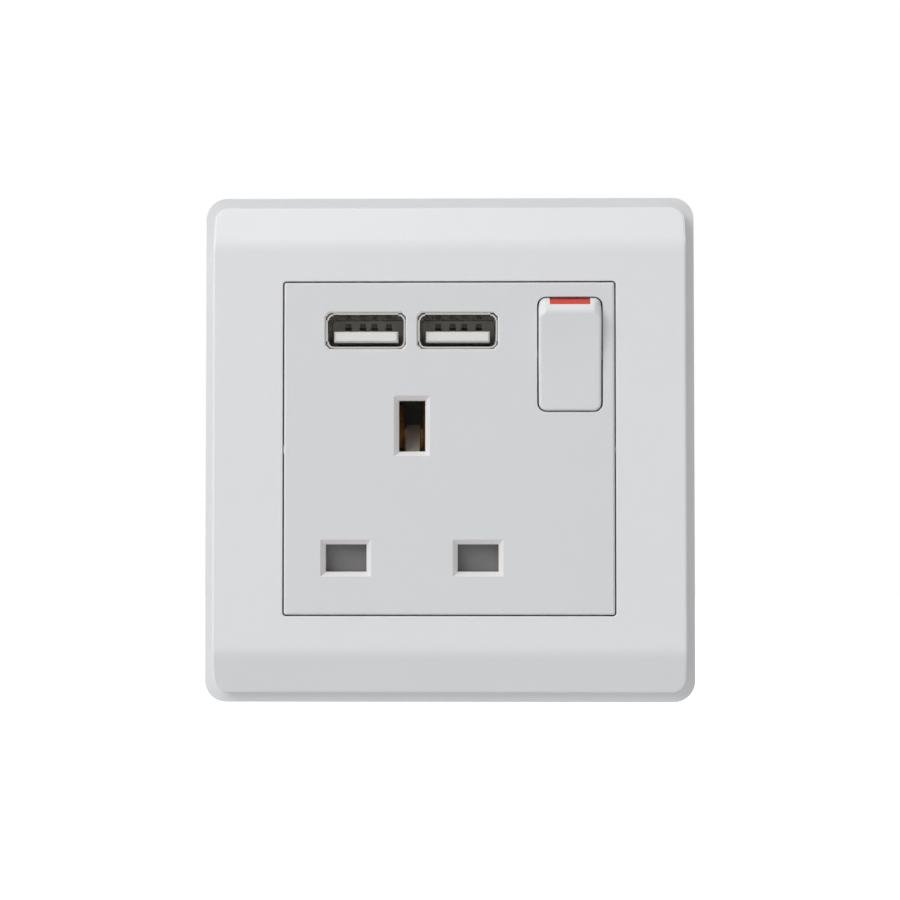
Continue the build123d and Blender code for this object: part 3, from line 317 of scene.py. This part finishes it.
def shutter_with_painted_ramp_light(name, shade, ramp_light):
    """Grey moulding with painted light down the middle of its ramp: paler and smoother there, most at the
    ramp's low end and fading upward.
    """
    finish = Finish(name)
    aside = finish.remap(abs(finish.axis("X") - EARTH["x"]), RAMP_LIGHT["full"], RAMP_LIGHT["none"], 1.0, 0.0)
    down = finish.remap(finish.axis("Z"), EARTH["z"] - RAMP_LIGHT["below"], EARTH["z"] + RAMP_LIGHT["above"], 1.0, 0.0)
    # Painted light: the middle of the ramp is paler towards its low end, where the light falls on it.
    painted_ramp_light = aside * down * finish.remap(finish.noise(0.5 * MM, 4), 0.2, 0.7, 0.8, 1.0)
    flow = finish.noise(6 * MM, 3)
    finish.set(Base_Color=finish.mix(painted_ramp_light, finish.mix(flow, darker(shade, 0.94), shade), ramp_light))
    finish.set(Roughness=finish.remap(painted_ramp_light, 0, 1, 0.6, 0.4), Specular_IOR_Level=0.1)
    finish.bump(finish.noise(SKIN["grain"], 2), SKIN["depth"])
    return finish.material


def pressed_fibre(name):
    """Dark pressed fibre card with long pale strands."""
    finish = Finish(name)
    strands = finish.noise(0.5 * MM, 4, finish.stretched((1.0, 1.0, 5.0)))
    finish.set(Base_Color=finish.mix(strands, (0.018, 0.018, 0.02), (0.06, 0.058, 0.055)))
    finish.gloss(strands, 0.6, 0.8)
    finish.bump(strands, 0.01 * MM)
    return finish.material


WELL = {"pair": 2.25 * MM, "apart": 1.25 * MM, "rise": 1.5 * MM, "half": 0.5 * MM}
PAINTED_SHADE_DEPTHS = (5 * MM, 8.5 * MM)


def port_block(name):
    """White port moulding with painted shade: its tongue stays white, its deep rear face is painted grey for
    the shade deep in the port, and four dark squares painted in that face above the tongue of each port stand
    for the shadowed wells of the contacts."""
    finish = Finish(name)
    left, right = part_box("usb_insulator_left"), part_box("usb_insulator_right")
    front, middle = left[0][1], (left[0][2] + left[1][2]) / 2
    centres = [(low[0] + high[0]) / 2 for low, high in (left, right)]
    aside = abs(abs(finish.axis("X") - sum(centres) / 2) - (centres[1] - centres[0]) / 2)
    across = abs(aside - WELL["pair"])
    up = finish.axis("Z") - middle
    # Painted shade: four near-black squares stand for the shadowed contact wells.
    well_shadows = (abs(across - WELL["apart"]) < WELL["half"]) * (abs(up - WELL["rise"]) < WELL["half"])
    # Painted shade: the rear face, deeper in the port than the tongue, is painted grey.
    depth_shade = finish.remap(finish.axis("Y"), *(front + depth for depth in PAINTED_SHADE_DEPTHS))
    dust = finish.noise(0.6 * MM, 4)
    rear = finish.mix(well_shadows, (0.44, 0.436, 0.42), (0.10, 0.098, 0.095))
    finish.set(Base_Color=finish.mix(depth_shade, (0.80, 0.80, 0.79), rear))
    finish.gloss(dust, 0.36, 0.5)
    finish.bump(dust, 0.002 * MM)
    return finish.material


PAINTED_SHADOW_BAND = (0.55 * MM, 0.42 * MM)


def flag_red(name):
    """Satin red plastic let into the rocker, with a painted shadow of the gap above it darkening it along its
    upper edge.
    """
    finish = Finish(name)
    upper_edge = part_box("on_flag")[1][2]
    cloud = finish.noise(1.5 * MM, 3)
    # Painted shadow: a darker red along the flag's upper edge, for the shade of the gap above it.
    upper = finish.remap(finish.axis("Z"), *(upper_edge - below for below in PAINTED_SHADOW_BAND))
    pale = finish.mix(cloud, (0.62, 0.057, 0.038), (0.67, 0.070, 0.047))
    finish.set(Base_Color=finish.mix(upper, pale, (0.565, 0.046, 0.031)), Specular_IOR_Level=0.15)
    finish.gloss(cloud, 0.28, 0.4)
    finish.bump(finish.noise(0.2 * MM, 2), 0.001 * MM)
    return finish.material


WHITE = (0.800, 0.808, 0.824)
# A paler white of the panel's own plastic, painted on its window bevels as the light they catch.
PAINTED_BEVEL_LIGHT_WHITE = (0.820, 0.803, 0.800)
WARM_STEEL = (0.62, 0.61, 0.59)
DULL_STEEL = (0.3, 0.28, 0.25)
ACROSS = (20.0, 1.0, 1.0)
INWARDS = (1.0, 20.0, 1.0)
UPRIGHT = (1.0, 1.0, 20.0)
SLEEVE = {"grain": 0.4 * MM, "depth": 0.004 * MM, "drift": 0.85}
SIDES = ("left", "right")

FINISHES = {
    "cover_frame": moulded("cover_satin", WHITE, 0.34),
    "back_frame": moulded("rim_satin", darker(WHITE, 0.92), 0.4),
    "face_panel": panel_with_painted_bevel_light("panel_satin", darker(WHITE, 0.91), PAINTED_BEVEL_LIGHT_WHITE, 0.36),
    "rocker": moulded("rocker_gloss", darker(WHITE, 0.925), 0.3),
    "rear_housing": spark_textured("housing_matt", (0.70, 0.70, 0.69)),
    "on_flag": flag_red("flag_red"),
    "shutter": shutter_with_painted_ramp_light("shutter_grey", (0.215, 0.212, 0.212), (0.36, 0.325, 0.292)),
    "plunger": moulded("plunger_white", (0.74, 0.73, 0.70), 0.4),
    "plunger_spring": drawn_metal("plunger_wire", WARM_STEEL, DULL_STEEL, 0.28, INWARDS),
    "shutter_spring": drawn_metal("shutter_wire", WARM_STEEL, DULL_STEEL, 0.28, UPRIGHT),
    "charger_board": etched_board("board_lacquer", "charger_board"),
    "transformer_core": fired_ferrite("core_ferrite"),
    "transformer_winding": taped_winding("winding_tape"),
    "input_capacitor": moulded("film_box", (0.42, 0.06, 0.03), 0.45, 0.5 * MM, 0.01 * MM, 0.85),
    "output_capacitor": sleeved_can("can_sleeve", "output_capacitor"),
    "bridge_rectifier": marked_chip("bridge_resin", "bridge_rectifier"),
    "controller_chip": marked_chip("chip_resin", "controller_chip"),
    "live_lead": moulded("brown_sleeve", (0.11, 0.035, 0.015), 0.42, **SLEEVE),
    "neutral_lead": moulded("blue_sleeve", (0.01, 0.05, 0.28), 0.42, **SLEEVE),
}
BRASS = drawn_metal("rolled_brass", (0.70, 0.425, 0.135), (0.43, 0.24, 0.075), 0.4, INWARDS, 0.12)
ZINC = drawn_metal("zinc_steel", (0.64, 0.64, 0.63), (0.34, 0.33, 0.30), 0.32, INWARDS, 0.04)
SILVER = drawn_metal("silver_tip", (0.80, 0.79, 0.76), (0.42, 0.40, 0.36), 0.26, ACROSS, 0.05)
NICKEL = drawn_metal("port_nickel", (0.50, 0.49, 0.47), (0.30, 0.29, 0.27), 0.26, INWARDS)
GOLD = drawn_metal("contact_gold", (0.94, 0.68, 0.28), (0.70, 0.62, 0.48), 0.24, INWARDS, 0.03)
TONGUE = port_block("tongue_white")
for finish, nodes in (
        (BRASS, ("live_contact", "neutral_contact", "earth_contact", "live_terminal", "neutral_terminal",
                 "earth_terminal", "contact_arm", "switched_live_strap")),
        (ZINC, ("housing_screws", "terminal_screws")),
        (SILVER, ("moving_tip", "fixed_tip")),
        (NICKEL, ["usb_shell_" + side for side in SIDES]),
        (GOLD, ["usb_contacts_" + side for side in SIDES]),
        (TONGUE, ["usb_insulator_" + side for side in SIDES])):
    FINISHES.update(dict.fromkeys(nodes, finish))

for node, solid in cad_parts.items():
    for slot in solid.material_slots:
        slot.material = FINISHES[node]


SHARP_ANGLE = np.radians(40)


def lift_mesh(name, points, faces, finish):
    """A smooth-shaded piece from an array of points in millimetres and a list of faces."""
    mesh = bpy.data.meshes.new(name)
    mesh.from_pydata((points * MM).tolist(), [], faces)
    mesh.shade_smooth()
    mesh.set_sharp_from_angle(angle=SHARP_ANGLE)
    mesh.materials.append(finish)
    piece = bpy.data.objects.new(name, mesh)
    scene.collection.objects.link(piece)
    return piece


def ring_quads(rows, columns):
    """Quads of a grid that closes on itself along its columns and stays open along its rows."""
    start = np.arange(rows - 1)[:, None] * columns
    low = start + np.arange(columns)
    side = start + (np.arange(columns) + 1) % columns
    return np.stack([low, side, side + columns, low + columns], -1).reshape(-1, 4)


def carried(profile, axis, start, end):
    """Both end outlines of a flat profile that is carried along one axis between two planes."""
    return np.concatenate([np.insert(profile, axis, place, axis=1) for place in (start, end)])


def prism_quads(count, ends):
    """Quads of a carried profile: its sides, and the quads that close its two ends."""
    return np.concatenate([ring_quads(2, count), ends[:, ::-1], ends + count])


# Lengths of the shapes below are in millimetres, and lift_mesh brings them to metres.
COVER = {"width": 79.7, "height": 82.3, "corner": 2.3, "wall": 1.8, "edge": 0.38, "edge_steps": 8}
WINDOW = {"width": 56.1, "height": 56.4, "corner": 0.6, "lip": 1.2, "lip_depth": 2.2,
          "edge": 0.12, "edge_steps": 3}
FOLD = {"face": -8.4, "flat_half": 34.4, "radius": 4.6, "drop": 3.6, "foot": -3.4}
NEAR_FOLD = np.linspace(0.84, 0.995, 30)
COVER_SIDES = {"up": np.concatenate([-NEAR_FOLD[::-1], np.linspace(-0.83, 0.83, 18), NEAR_FOLD]),
               "across": np.linspace(-0.99, 0.99, 26), "turn": np.linspace(0, np.pi / 2, 12)}
COVER_FACE = np.concatenate([[0, 0.01], np.linspace(0.03, 0.37, 5), np.linspace(0.40, 0.66, 22),
                             np.linspace(0.70, 0.97, 6), [0.99, 1]])
COVER_UNDER = np.linspace(0, 1, 12)


def rounded_outline(shape, grown, across, up, turn):
    """Points round a rounded rectangle that has grown by a distance on every side: four sides at the given
    shares of their straight runs, joined by quarter circles at the given angles, anticlockwise from the
    lower right."""
    corner = shape["corner"] + grown
    w, h = shape["width"] / 2 + grown - corner, shape["height"] / 2 + grown - corner
    bends = [np.stack([corner * np.cos(turn + start), corner * np.sin(turn + start)], 1)
             for start in np.radians([-90, 0, 90, 180])]
    right = np.stack([np.full(up.size, w + corner), up * h], 1)
    top = np.stack([-across * w, np.full(across.size, h + corner)], 1)
    return np.concatenate([bends[0] + (w, -h), right, bends[1] + (w, h), top,
                           bends[2] + (-w, h), -right, bends[3] + (-w, -h), -top])


def cover_front(z):
    """Depth of the cover's front at height z: level in the middle, then a circular fold of one radius,
    then a straight slope to the end."""
    angle = np.arctan2(FOLD["drop"], COVER["height"] / 2 - FOLD["flat_half"])
    tangent = FOLD["radius"] * np.tan(angle / 2)
    run = np.abs(z) - FOLD["flat_half"] + tangent
    arc_run = FOLD["radius"] * np.sin(angle)
    inside = np.clip(run, 0, arc_run)
    arc = FOLD["radius"] - np.sqrt(FOLD["radius"] ** 2 - inside ** 2)
    return FOLD["face"] + arc + np.maximum(run - arc_run, 0) * np.tan(angle)


def quarter(count):
    """Angles from 0 to a right angle, both ends left out."""
    return np.linspace(0, np.pi / 2, count + 2)[1:-1]


def cover_shell(name, finish):
    """The clip-on cover as a closed ring. Each column of the grid runs from the window's outline to the outer
    outline, over a quarter-round edge, down the wall to the rim, and back inside at an even wall.
    The depth of every front point is the folded profile at its height."""
    outer, window = rounded_outline(COVER, 0, **COVER_SIDES), rounded_outline(WINDOW, 0, **COVER_SIDES)
    inward = rounded_outline(COVER, -1, **COVER_SIDES) - outer
    outward = rounded_outline(WINDOW, 1, **COVER_SIDES) - window
    edge, lip, wall = COVER["edge"], WINDOW["edge"], COVER["wall"]
    face_in, face_out = window + outward * lip, outer + inward * edge
    inner, under = outer + inward * wall, window + outward * WINDOW["lip"]
    lip_back = FOLD["face"] + WINDOW["lip_depth"]
    # A row is an outline, whether its depth follows the fold, and the depth that is added.
    level, folded = 0, 1
    rows = [(window, level, lip_back), (window, level, FOLD["face"] + lip)]
    rows += [(window + outward * lip * (1 - np.cos(angle)), folded, lip * (1 - np.sin(angle)))
             for angle in quarter(WINDOW["edge_steps"])]
    rows += [(face_in + (face_out - face_in) * share, folded, 0.0) for share in COVER_FACE]
    rows += [(outer + inward * edge * (1 - np.sin(angle)), folded, edge * (1 - np.cos(angle)))
             for angle in quarter(COVER["edge_steps"])]
    rows += [(outer, folded, edge), (outer, level, FOLD["foot"]), (inner, level, FOLD["foot"])]
    rows += [(inner + (under - inner) * share, folded, wall) for share in COVER_UNDER]
    rows.append((under, level, lip_back))
    plan = np.stack([outline for outline, _, _ in rows])
    depth = np.stack([cover_front(outline[:, 1]) * follows + added for outline, follows, added in rows])
    points = np.stack([plan[..., 0], depth, plan[..., 1]], -1).reshape(-1, 3)
    first = np.arange(len(outer))
    last = first + (len(rows) - 1) * len(outer)
    closing = np.stack([last, np.roll(last, -1), np.roll(first, -1), first], -1)
    faces = np.concatenate([ring_quads(len(rows), len(outer)), closing])
    return lift_mesh(name, points, faces[:, ::-1].tolist(), finish)


HOOK = {"root": FOLD["face"] + 1.0, "catch": -1.7, "tip": -0.9, "near": 30.80, "far": 32.00, "barb": 32.60,
        "middle": 20.0, "half": 4.0}


def cover_hooks(name, finish):
    """The cover's four snap tongues: one barbed (y, z) profile, mirrored top to bottom, carried along x."""
    root, catch, tip, near, far, barb = (HOOK[key] for key in ("root", "catch", "tip", "near", "far", "barb"))
    profile = np.array([(root, near), (tip, near), (tip, far), (catch, barb), (catch, far), (root, far)])
    quads = prism_quads(len(profile), np.array([[0, 1, 2, 5], [5, 2, 3, 4]]))
    points, faces = [], []
    for side in (-1, 1):
        for middle in (-HOOK["middle"], HOOK["middle"]):
            faces.append(quads[:, ::side] + 2 * len(profile) * len(points))
            points.append(carried(profile * (1, side), 0, middle - HOOK["half"], middle + HOOK["half"]))
    return lift_mesh(name, np.concatenate(points), np.concatenate(faces).tolist(), finish)


CARD = {"wall_x": -25.2, "fold_x": -10.6, "front": 2.2, "back": 8.0, "thick": 0.4, "low": -11.5, "high": 4.0}


def insulating_card(name, finish):
    """A folded fibre card behind the shutter: an L-shaped (x, y) profile of one thickness carried up z."""
    wall_x, fold_x, front, back, thick = (CARD[key] for key in ("wall_x", "fold_x", "front", "back", "thick"))
    profile = np.array([(wall_x, front), (fold_x, front), (fold_x, back), (fold_x - thick, back),
                        (fold_x - thick, front + thick), (wall_x, front + thick)])
    quads = prism_quads(len(profile), np.array([[0, 1, 4, 5], [1, 2, 3, 4]]))
    return lift_mesh(name, carried(profile, 2, CARD["low"], CARD["high"]), quads.tolist(), finish)


ROCKER = {"half": 5.275, "corner": 1.3, "reach": 9.805, "skirt": -2.6, "edge": 0.5,
          "low": (-9.180, 3.4445), "crease": (7.552, 3.2625), "top": (9.752, 1.019),
          "dish": 75.33, "dish_middle": 2.883, "wrap": 1.1, "soft": 0.55,
          "pivot": (20.33, -6.2, 15.8), "tilt": np.radians(7)}
FLAG = {"half": 3.4, "start": 8.672, "sink": 1.143, "step": 0.004}
POCKET = {"half": 3.975, "length": 6.902, "roof": 1.287}
POST = {"half": 2.5, "end": -5.5, "bore": 1.6, "bore_end": 0.6}
TRUNNION = {"radius": 1.0, "inner": 3.975, "outer": 5.975}
EDGE_STEPS = np.array([0, 0.02, 0.06, 0.12, 0.2, 0.3, 0.42, 0.56])
SIDE_SHARES = 1 - np.array([1, 0.8, 0.62, 0.47, 0.36, 0.28, 0.21, 0.15, 0.1, 0.06, 0.03, 0.01, 0])
WALL_SHARES = np.linspace(0, 1, 9)[1:]
ROUND = np.radians(np.arange(0, 360, 15))


def soft_lower(first, second, blend):
    """The lower of two surfaces, with the crease between them rounded over a blend height."""
    return np.minimum(first, second) - np.maximum(blend - np.abs(first - second), 0) ** 2 / (4 * blend)


def rocker_rise(x, height):
    """Rise of the rocker's face over its pivot: a shallow circular dish, cut off at the top by a straight
    bevel that wraps round both top corners, with a quarter-round edge all round."""
    dish = ROCKER["dish_middle"] + ROCKER["dish"] - np.sqrt(ROCKER["dish"] ** 2 - height ** 2)
    top, rise = ROCKER["top"]
    slope = (ROCKER["crease"][1] - rise) / (top - ROCKER["crease"][0])
    wrap, half = ROCKER["wrap"], ROCKER["half"]
    beside = np.maximum(np.abs(x) - half + wrap, 0)
    above = np.maximum(height - top + wrap, 0)
    bevel = rise + slope * (wrap - np.hypot(beside, above) + np.maximum(top - wrap - height, 0))
    face = soft_lower(dish, bevel, ROCKER["soft"])
    corner, low = ROCKER["corner"], ROCKER["low"][0]
    past_side = np.abs(x) - half + corner
    past_end = np.abs(height - (top + low) / 2) - (top - low) / 2 + corner
    outside = np.hypot(np.maximum(past_side, 0), np.maximum(past_end, 0))
    inside = corner - outside - np.minimum(np.maximum(past_side, past_end), 0)
    near_edge = np.clip(ROCKER["edge"] - inside, 0, ROCKER["edge"])
    return face - ROCKER["edge"] + np.sqrt(ROCKER["edge"] ** 2 - near_edge ** 2)


def at_pivot(x, height, rise):
    """Points over the pivot turned to the ON tilt and set in the plate."""
    cosine, sine = np.cos(ROCKER["tilt"]), np.sin(ROCKER["tilt"])
    turned = np.stack([x, -rise * cosine - height * sine, height * cosine - rise * sine], -1)
    return turned + ROCKER["pivot"]


def edge_loop(grid):
    """The border of a grid in order, once round."""
    return np.concatenate([grid[0, :-1], grid[:-1, -1], grid[-1, :0:-1], grid[:0:-1, 0]])


def grid_quads(index):
    """Quads between neighbouring rows and columns of an array of point numbers."""
    return np.stack([index[:-1, :-1], index[:-1, 1:], index[1:, 1:], index[1:, :-1]], -1).reshape(-1, 4)


def rocker_grid():
    """Places across and up the rocker's face: rows that narrow round its corners, with points close together
    near its edges, its bevel and the slot of its flag."""
    low, top, corner = ROCKER["low"][0], ROCKER["top"][0], ROCKER["corner"]
    slot, step = FLAG["start"], FLAG["step"]
    run = np.concatenate([low + EDGE_STEPS, low + np.array([0.75, 1.0, 1.3]), np.linspace(low + 1.8, 5.2, 18),
                          np.linspace(5.5, slot, 26), slot + np.array([step, 0.1, 0.25, 0.4]),
                          top - EDGE_STEPS[::-1]])
    to_end = np.minimum(run - low, top - run)
    width = ROCKER["half"] - corner + np.sqrt(corner ** 2 - np.maximum(corner - to_end, 0) ** 2)
    start = FLAG["half"] + step
    side = start + (width[:, None] - start) * SIDE_SHARES
    middle = np.tile(np.linspace(-FLAG["half"], FLAG["half"], 21), (run.size, 1))
    x = np.concatenate([-side[:, ::-1], middle, side], 1)
    return x, np.broadcast_to(run[:, None], x.shape)


def rocker_skin():
    """Points and faces of the rocker's shell: the face on a grid, walls that keep one distance from the pivot
    at both ends, and a box-shaped pocket behind."""
    x, height = rocker_grid()
    low, top, skirt = ROCKER["low"], ROCKER["top"], ROCKER["skirt"]
    in_slot = (np.abs(x) <= FLAG["half"]) & (height > FLAG["start"])
    slot_floor = top[1] + (top[0] - height) - FLAG["sink"]
    rise = np.where(in_slot, slot_floor, rocker_rise(x, height))
    loop_x, loop_height, loop_rise = edge_loop(x), edge_loop(height), edge_loop(rise)
    upper = loop_height > 0
    end_rise = np.where(upper, top[1], low[1])
    end_height = np.where(upper, top[0], -low[0])
    rings = []
    for share in WALL_SHARES:
        reach = np.sqrt(ROCKER["reach"] ** 2 - (end_rise + (skirt - end_rise) * share) ** 2)
        rings.append((loop_x, loop_height * reach / end_height, loop_rise + (skirt - loop_rise) * share))
    rows, columns = x.shape
    inner_x, inner_height = np.meshgrid(np.linspace(-1, 1, columns) * POCKET["half"],
                                        np.linspace(-1, 1, rows) * POCKET["length"])
    rings.append((edge_loop(inner_x), edge_loop(inner_height), np.full(loop_x.size, skirt)))
    roof = np.full(x.shape, POCKET["roof"])
    points = [at_pivot(x, height, rise).reshape(-1, 3), *(at_pivot(*ring) for ring in rings),
              at_pivot(inner_x, inner_height, roof).reshape(-1, 3)]
    index = np.arange(x.size).reshape(x.shape)
    ring_index = x.size + np.arange(len(rings) * loop_x.size).reshape(len(rings), -1)
    roof_index = index + x.size + ring_index.size
    loops = np.stack([edge_loop(index), *ring_index, edge_loop(roof_index)])
    walls = grid_quads(np.concatenate([loops, loops[:, :1]], 1))
    faces = np.concatenate([grid_quads(index), walls[:, ::-1], grid_quads(roof_index)[:, ::-1]])
    return np.concatenate(points), faces.tolist()


def rocker_post():
    """Points and faces of the post behind the rocker: a square bar with a round bore up its middle."""
    circle = np.stack([np.cos(ROUND), np.sin(ROUND)])
    square = circle / np.abs(circle).max(0) * POST["half"]
    bore = circle * POST["bore"]
    rows = [(square, POCKET["roof"]), (square, POST["end"]), (bore, POST["end"]), (bore, POST["bore_end"])]
    points = np.concatenate([at_pivot(*plan, np.full(ROUND.size, rise)) for plan, rise in rows])
    faces = ring_quads(len(rows), ROUND.size)[:, ::-1].tolist()
    first = np.arange(ROUND.size)
    last = first + (len(rows) - 1) * ROUND.size
    return points, faces + [first.tolist(), last[::-1].tolist()]


def rocker_trunnion(side):
    """Points and faces of one pivot pin: a circle carried along x."""
    ring = (TRUNNION["radius"] * np.cos(ROUND), TRUNNION["radius"] * np.sin(ROUND))
    ends = [TRUNNION["inner"], TRUNNION["outer"]][::side]
    points = np.concatenate([at_pivot(np.full(ROUND.size, side * x), *ring) for x in ends])
    faces = ring_quads(2, ROUND.size).tolist()
    first = np.arange(ROUND.size)
    return points, faces + [first[::-1].tolist(), (first + ROUND.size).tolist()]


def rocker_cap(name, finish):
    """The rocker: its dished shell, its post and its two pivot pins in one mesh."""
    points, faces = [], []
    for some_points, some_faces in (rocker_skin(), rocker_post(), rocker_trunnion(-1), rocker_trunnion(1)):
        first = sum(len(block) for block in points)
        faces += [[corner + first for corner in face] for face in some_faces]
        points.append(some_points)
    return lift_mesh(name, np.concatenate(points), faces, finish)


SHUTTER_SPRING = {"seat": (-6.26, -2.05, -15.96), "axis": (0.0, 0.0, 1.0), "length": 10.96, "travel": 4.7,
                  "radius": 1.15, "wire": 0.4, "turns": 7}
PLUNGER_SPRING = {"seat": (20.33, -6.7955, 15.7269), "axis": (0.0, 0.99255, 0.12187), "length": 4.02,
                  "travel": 0.5, "radius": 1.1, "wire": 0.4, "turns": 5}
TURN_STEPS = 30
WIRE_ROUND = np.radians(np.arange(0, 360, 30))


def coil_spring(name, spring, finish):
    """A round wire carried along a helix from its seat. The first and last turns close up to one wire's
    pitch, and the turns between them share the rest of the length."""
    turns, wire, axis = spring["turns"], spring["wire"], np.array(spring["axis"])
    steps = turns * TURN_STEPS
    turn = np.linspace(0, turns, steps + 1)
    span = spring["length"] - wire
    climb = np.interp(turn, [0, 1, turns - 1, turns], [0, wire, span - wire, span]) + wire / 2
    across = np.array([1.0, 0.0, 0.0])
    angle = 2 * np.pi * turn[:, None]
    radial = across * np.cos(angle) + np.cross(axis, across) * np.sin(angle)
    middle = np.array(spring["seat"]) + radial * spring["radius"] + axis * climb[:, None]
    along = np.gradient(middle, axis=0)
    side = np.cross(along / np.linalg.norm(along, axis=1, keepdims=True), radial)
    around = WIRE_ROUND[None, :, None]
    points = middle[:, None] + wire / 2 * (radial[:, None] * np.cos(around) + side[:, None] * np.sin(around))
    first = np.arange(WIRE_ROUND.size)
    last = first + steps * WIRE_ROUND.size
    faces = ring_quads(steps + 1, WIRE_ROUND.size).tolist() + [first[::-1].tolist(), last.tolist()]
    return lift_mesh(name, points.reshape(-1, 3), faces, finish)


def backdrop_rays(finish):
    """1 for rays from the eye, a mirror or a clear piece, and 0 for rays that gather light."""
    eye, mirror, clear = (finish.node("ShaderNodeLightPath", None, None, ray)
                          for ray in ("Is Camera Ray", "Is Glossy Ray", "Is Transmission Ray"))
    return eye.larger(mirror).larger(clear)


GLOW = {"near": 0.17, "far": 0.4, "near_level": 0.58, "far_level": 1.0}


def pale_floor(name, height, reach):
    """A square plane below the part: diffuse to light, near white to the eye, darker in the part's shadow,
    and clear from below."""
    corners = np.array([(-1, -1, 0), (1, -1, 0), (1, 1, 0), (-1, 1, 0)]) * reach + (0, 0, height)
    mesh = bpy.data.meshes.new(name)
    mesh.from_pydata(corners.tolist(), [], [(0, 1, 2, 3)])
    floor = bpy.data.objects.new(name, mesh)
    scene.collection.objects.link(floor)
    finish = Finish(name)
    cloud = finish.noise(0.4, 2)
    finish.set(Base_Color=finish.mix(cloud, (0.70, 0.70, 0.70), (0.74, 0.74, 0.74)), Roughness=0.9)
    away = finish.node("ShaderNodeVectorMath", {"operation": "LENGTH"}, {0: finish.place}, "Value")
    glow = finish.remap(away, GLOW["near"], GLOW["far"], GLOW["near_level"], GLOW["far_level"])
    lit = Field(finish, finish.shader.outputs[0])
    seen = finish.node("ShaderNodeAddShader", None, {
        0: finish.node("ShaderNodeBsdfDiffuse", None, {"Color": rgba((0.5, 0.5, 0.5))}),
        1: finish.node("ShaderNodeEmission", None, {"Color": rgba((1.0, 1.0, 1.0)), "Strength": glow})})
    shown = finish.node("ShaderNodeMixShader", None, {0: backdrop_rays(finish), 1: lit, 2: seen})
    from_below = finish.node("ShaderNodeNewGeometry", None, None, "Backfacing")
    one_sided = finish.node("ShaderNodeMixShader", None, {
        0: from_below, 1: shown, 2: finish.node("ShaderNodeBsdfTransparent")})
    finish.feed(finish.tree.nodes["Material Output"].inputs["Surface"], one_sided)
    mesh.materials.append(finish.material)


LAMP_DISTANCE = 1.8


def soft_lamp(name, power, size, direction):
    """A square soft box that faces the part's centre from one direction."""
    lamp = bpy.data.lights.new(name, "AREA")
    lamp.energy = power
    lamp.size = size
    box = bpy.data.objects.new(name, lamp)
    box.location = Vector(direction).normalized() * LAMP_DISTANCE
    box.rotation_euler = (-box.location).to_track_quat("-Z", "Y").to_euler()
    scene.collection.objects.link(box)


def studio_light(name, level):
    """Even white light all round at one level, which the eye and mirrors see as plain white."""
    studio = bpy.data.worlds.new(name)
    finish = Finish(name, studio)
    strength = finish.remap(backdrop_rays(finish), 0, 1, level, 1.0)
    backdrop = finish.tree.nodes["Background"]
    finish.feed(backdrop.inputs["Color"], rgba((1.0, 1.0, 1.0)))
    finish.feed(backdrop.inputs["Strength"], strength)
    scene.world = studio


def camera(name, place, angle, near):
    """The eye, turned to the part's centre."""
    eye = bpy.data.objects.new(name, bpy.data.cameras.new(name))
    eye.location = place
    eye.rotation_euler = (-eye.location).to_track_quat("-Z", "Y").to_euler()
    eye.data.sensor_fit = "HORIZONTAL"
    eye.data.angle = angle
    eye.data.clip_start = near
    scene.collection.objects.link(eye)
    scene.camera = eye


for piece in (cover_shell("cover_shell", FINISHES["cover_frame"]),
              cover_hooks("cover_hooks", FINISHES["cover_frame"])):
    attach(piece, "body")
    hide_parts("cover_frame")
card = insulating_card("insulating_card", pressed_fibre("card_fibre"))
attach(card, "body")
for node, body, joint, spring in (("shutter_spring", "body", "shutter_slide", SHUTTER_SPRING),
                                  ("plunger_spring", "rocker", "plunger_slide", PLUNGER_SPRING)):
    coil = coil_spring(node + "_coil", spring, FINISHES[node])
    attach(coil, body)
    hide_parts(node)
    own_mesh(coil)
cap = rocker_cap("rocker_cap", FINISHES["rocker"])
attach(cap, "rocker")
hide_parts("rocker")

pale_floor("floor", height=-100 * MM, reach=3.0)
studio_light("studio", level=0.382)
soft_lamp("window_lamp", power=18.1, size=1.1, direction=(-0.62, -0.55, 0.56))
soft_lamp("top_lamp", power=4.3, size=0.9, direction=(-0.15, -0.25, 1.0))
soft_lamp("rear_lamp", power=14.0, size=0.8, direction=(0.55, 0.7, 0.45))
camera("eye", place=(7 * MM, -408.4 * MM, -15 * MM), angle=np.radians(21.4), near=10 * MM)
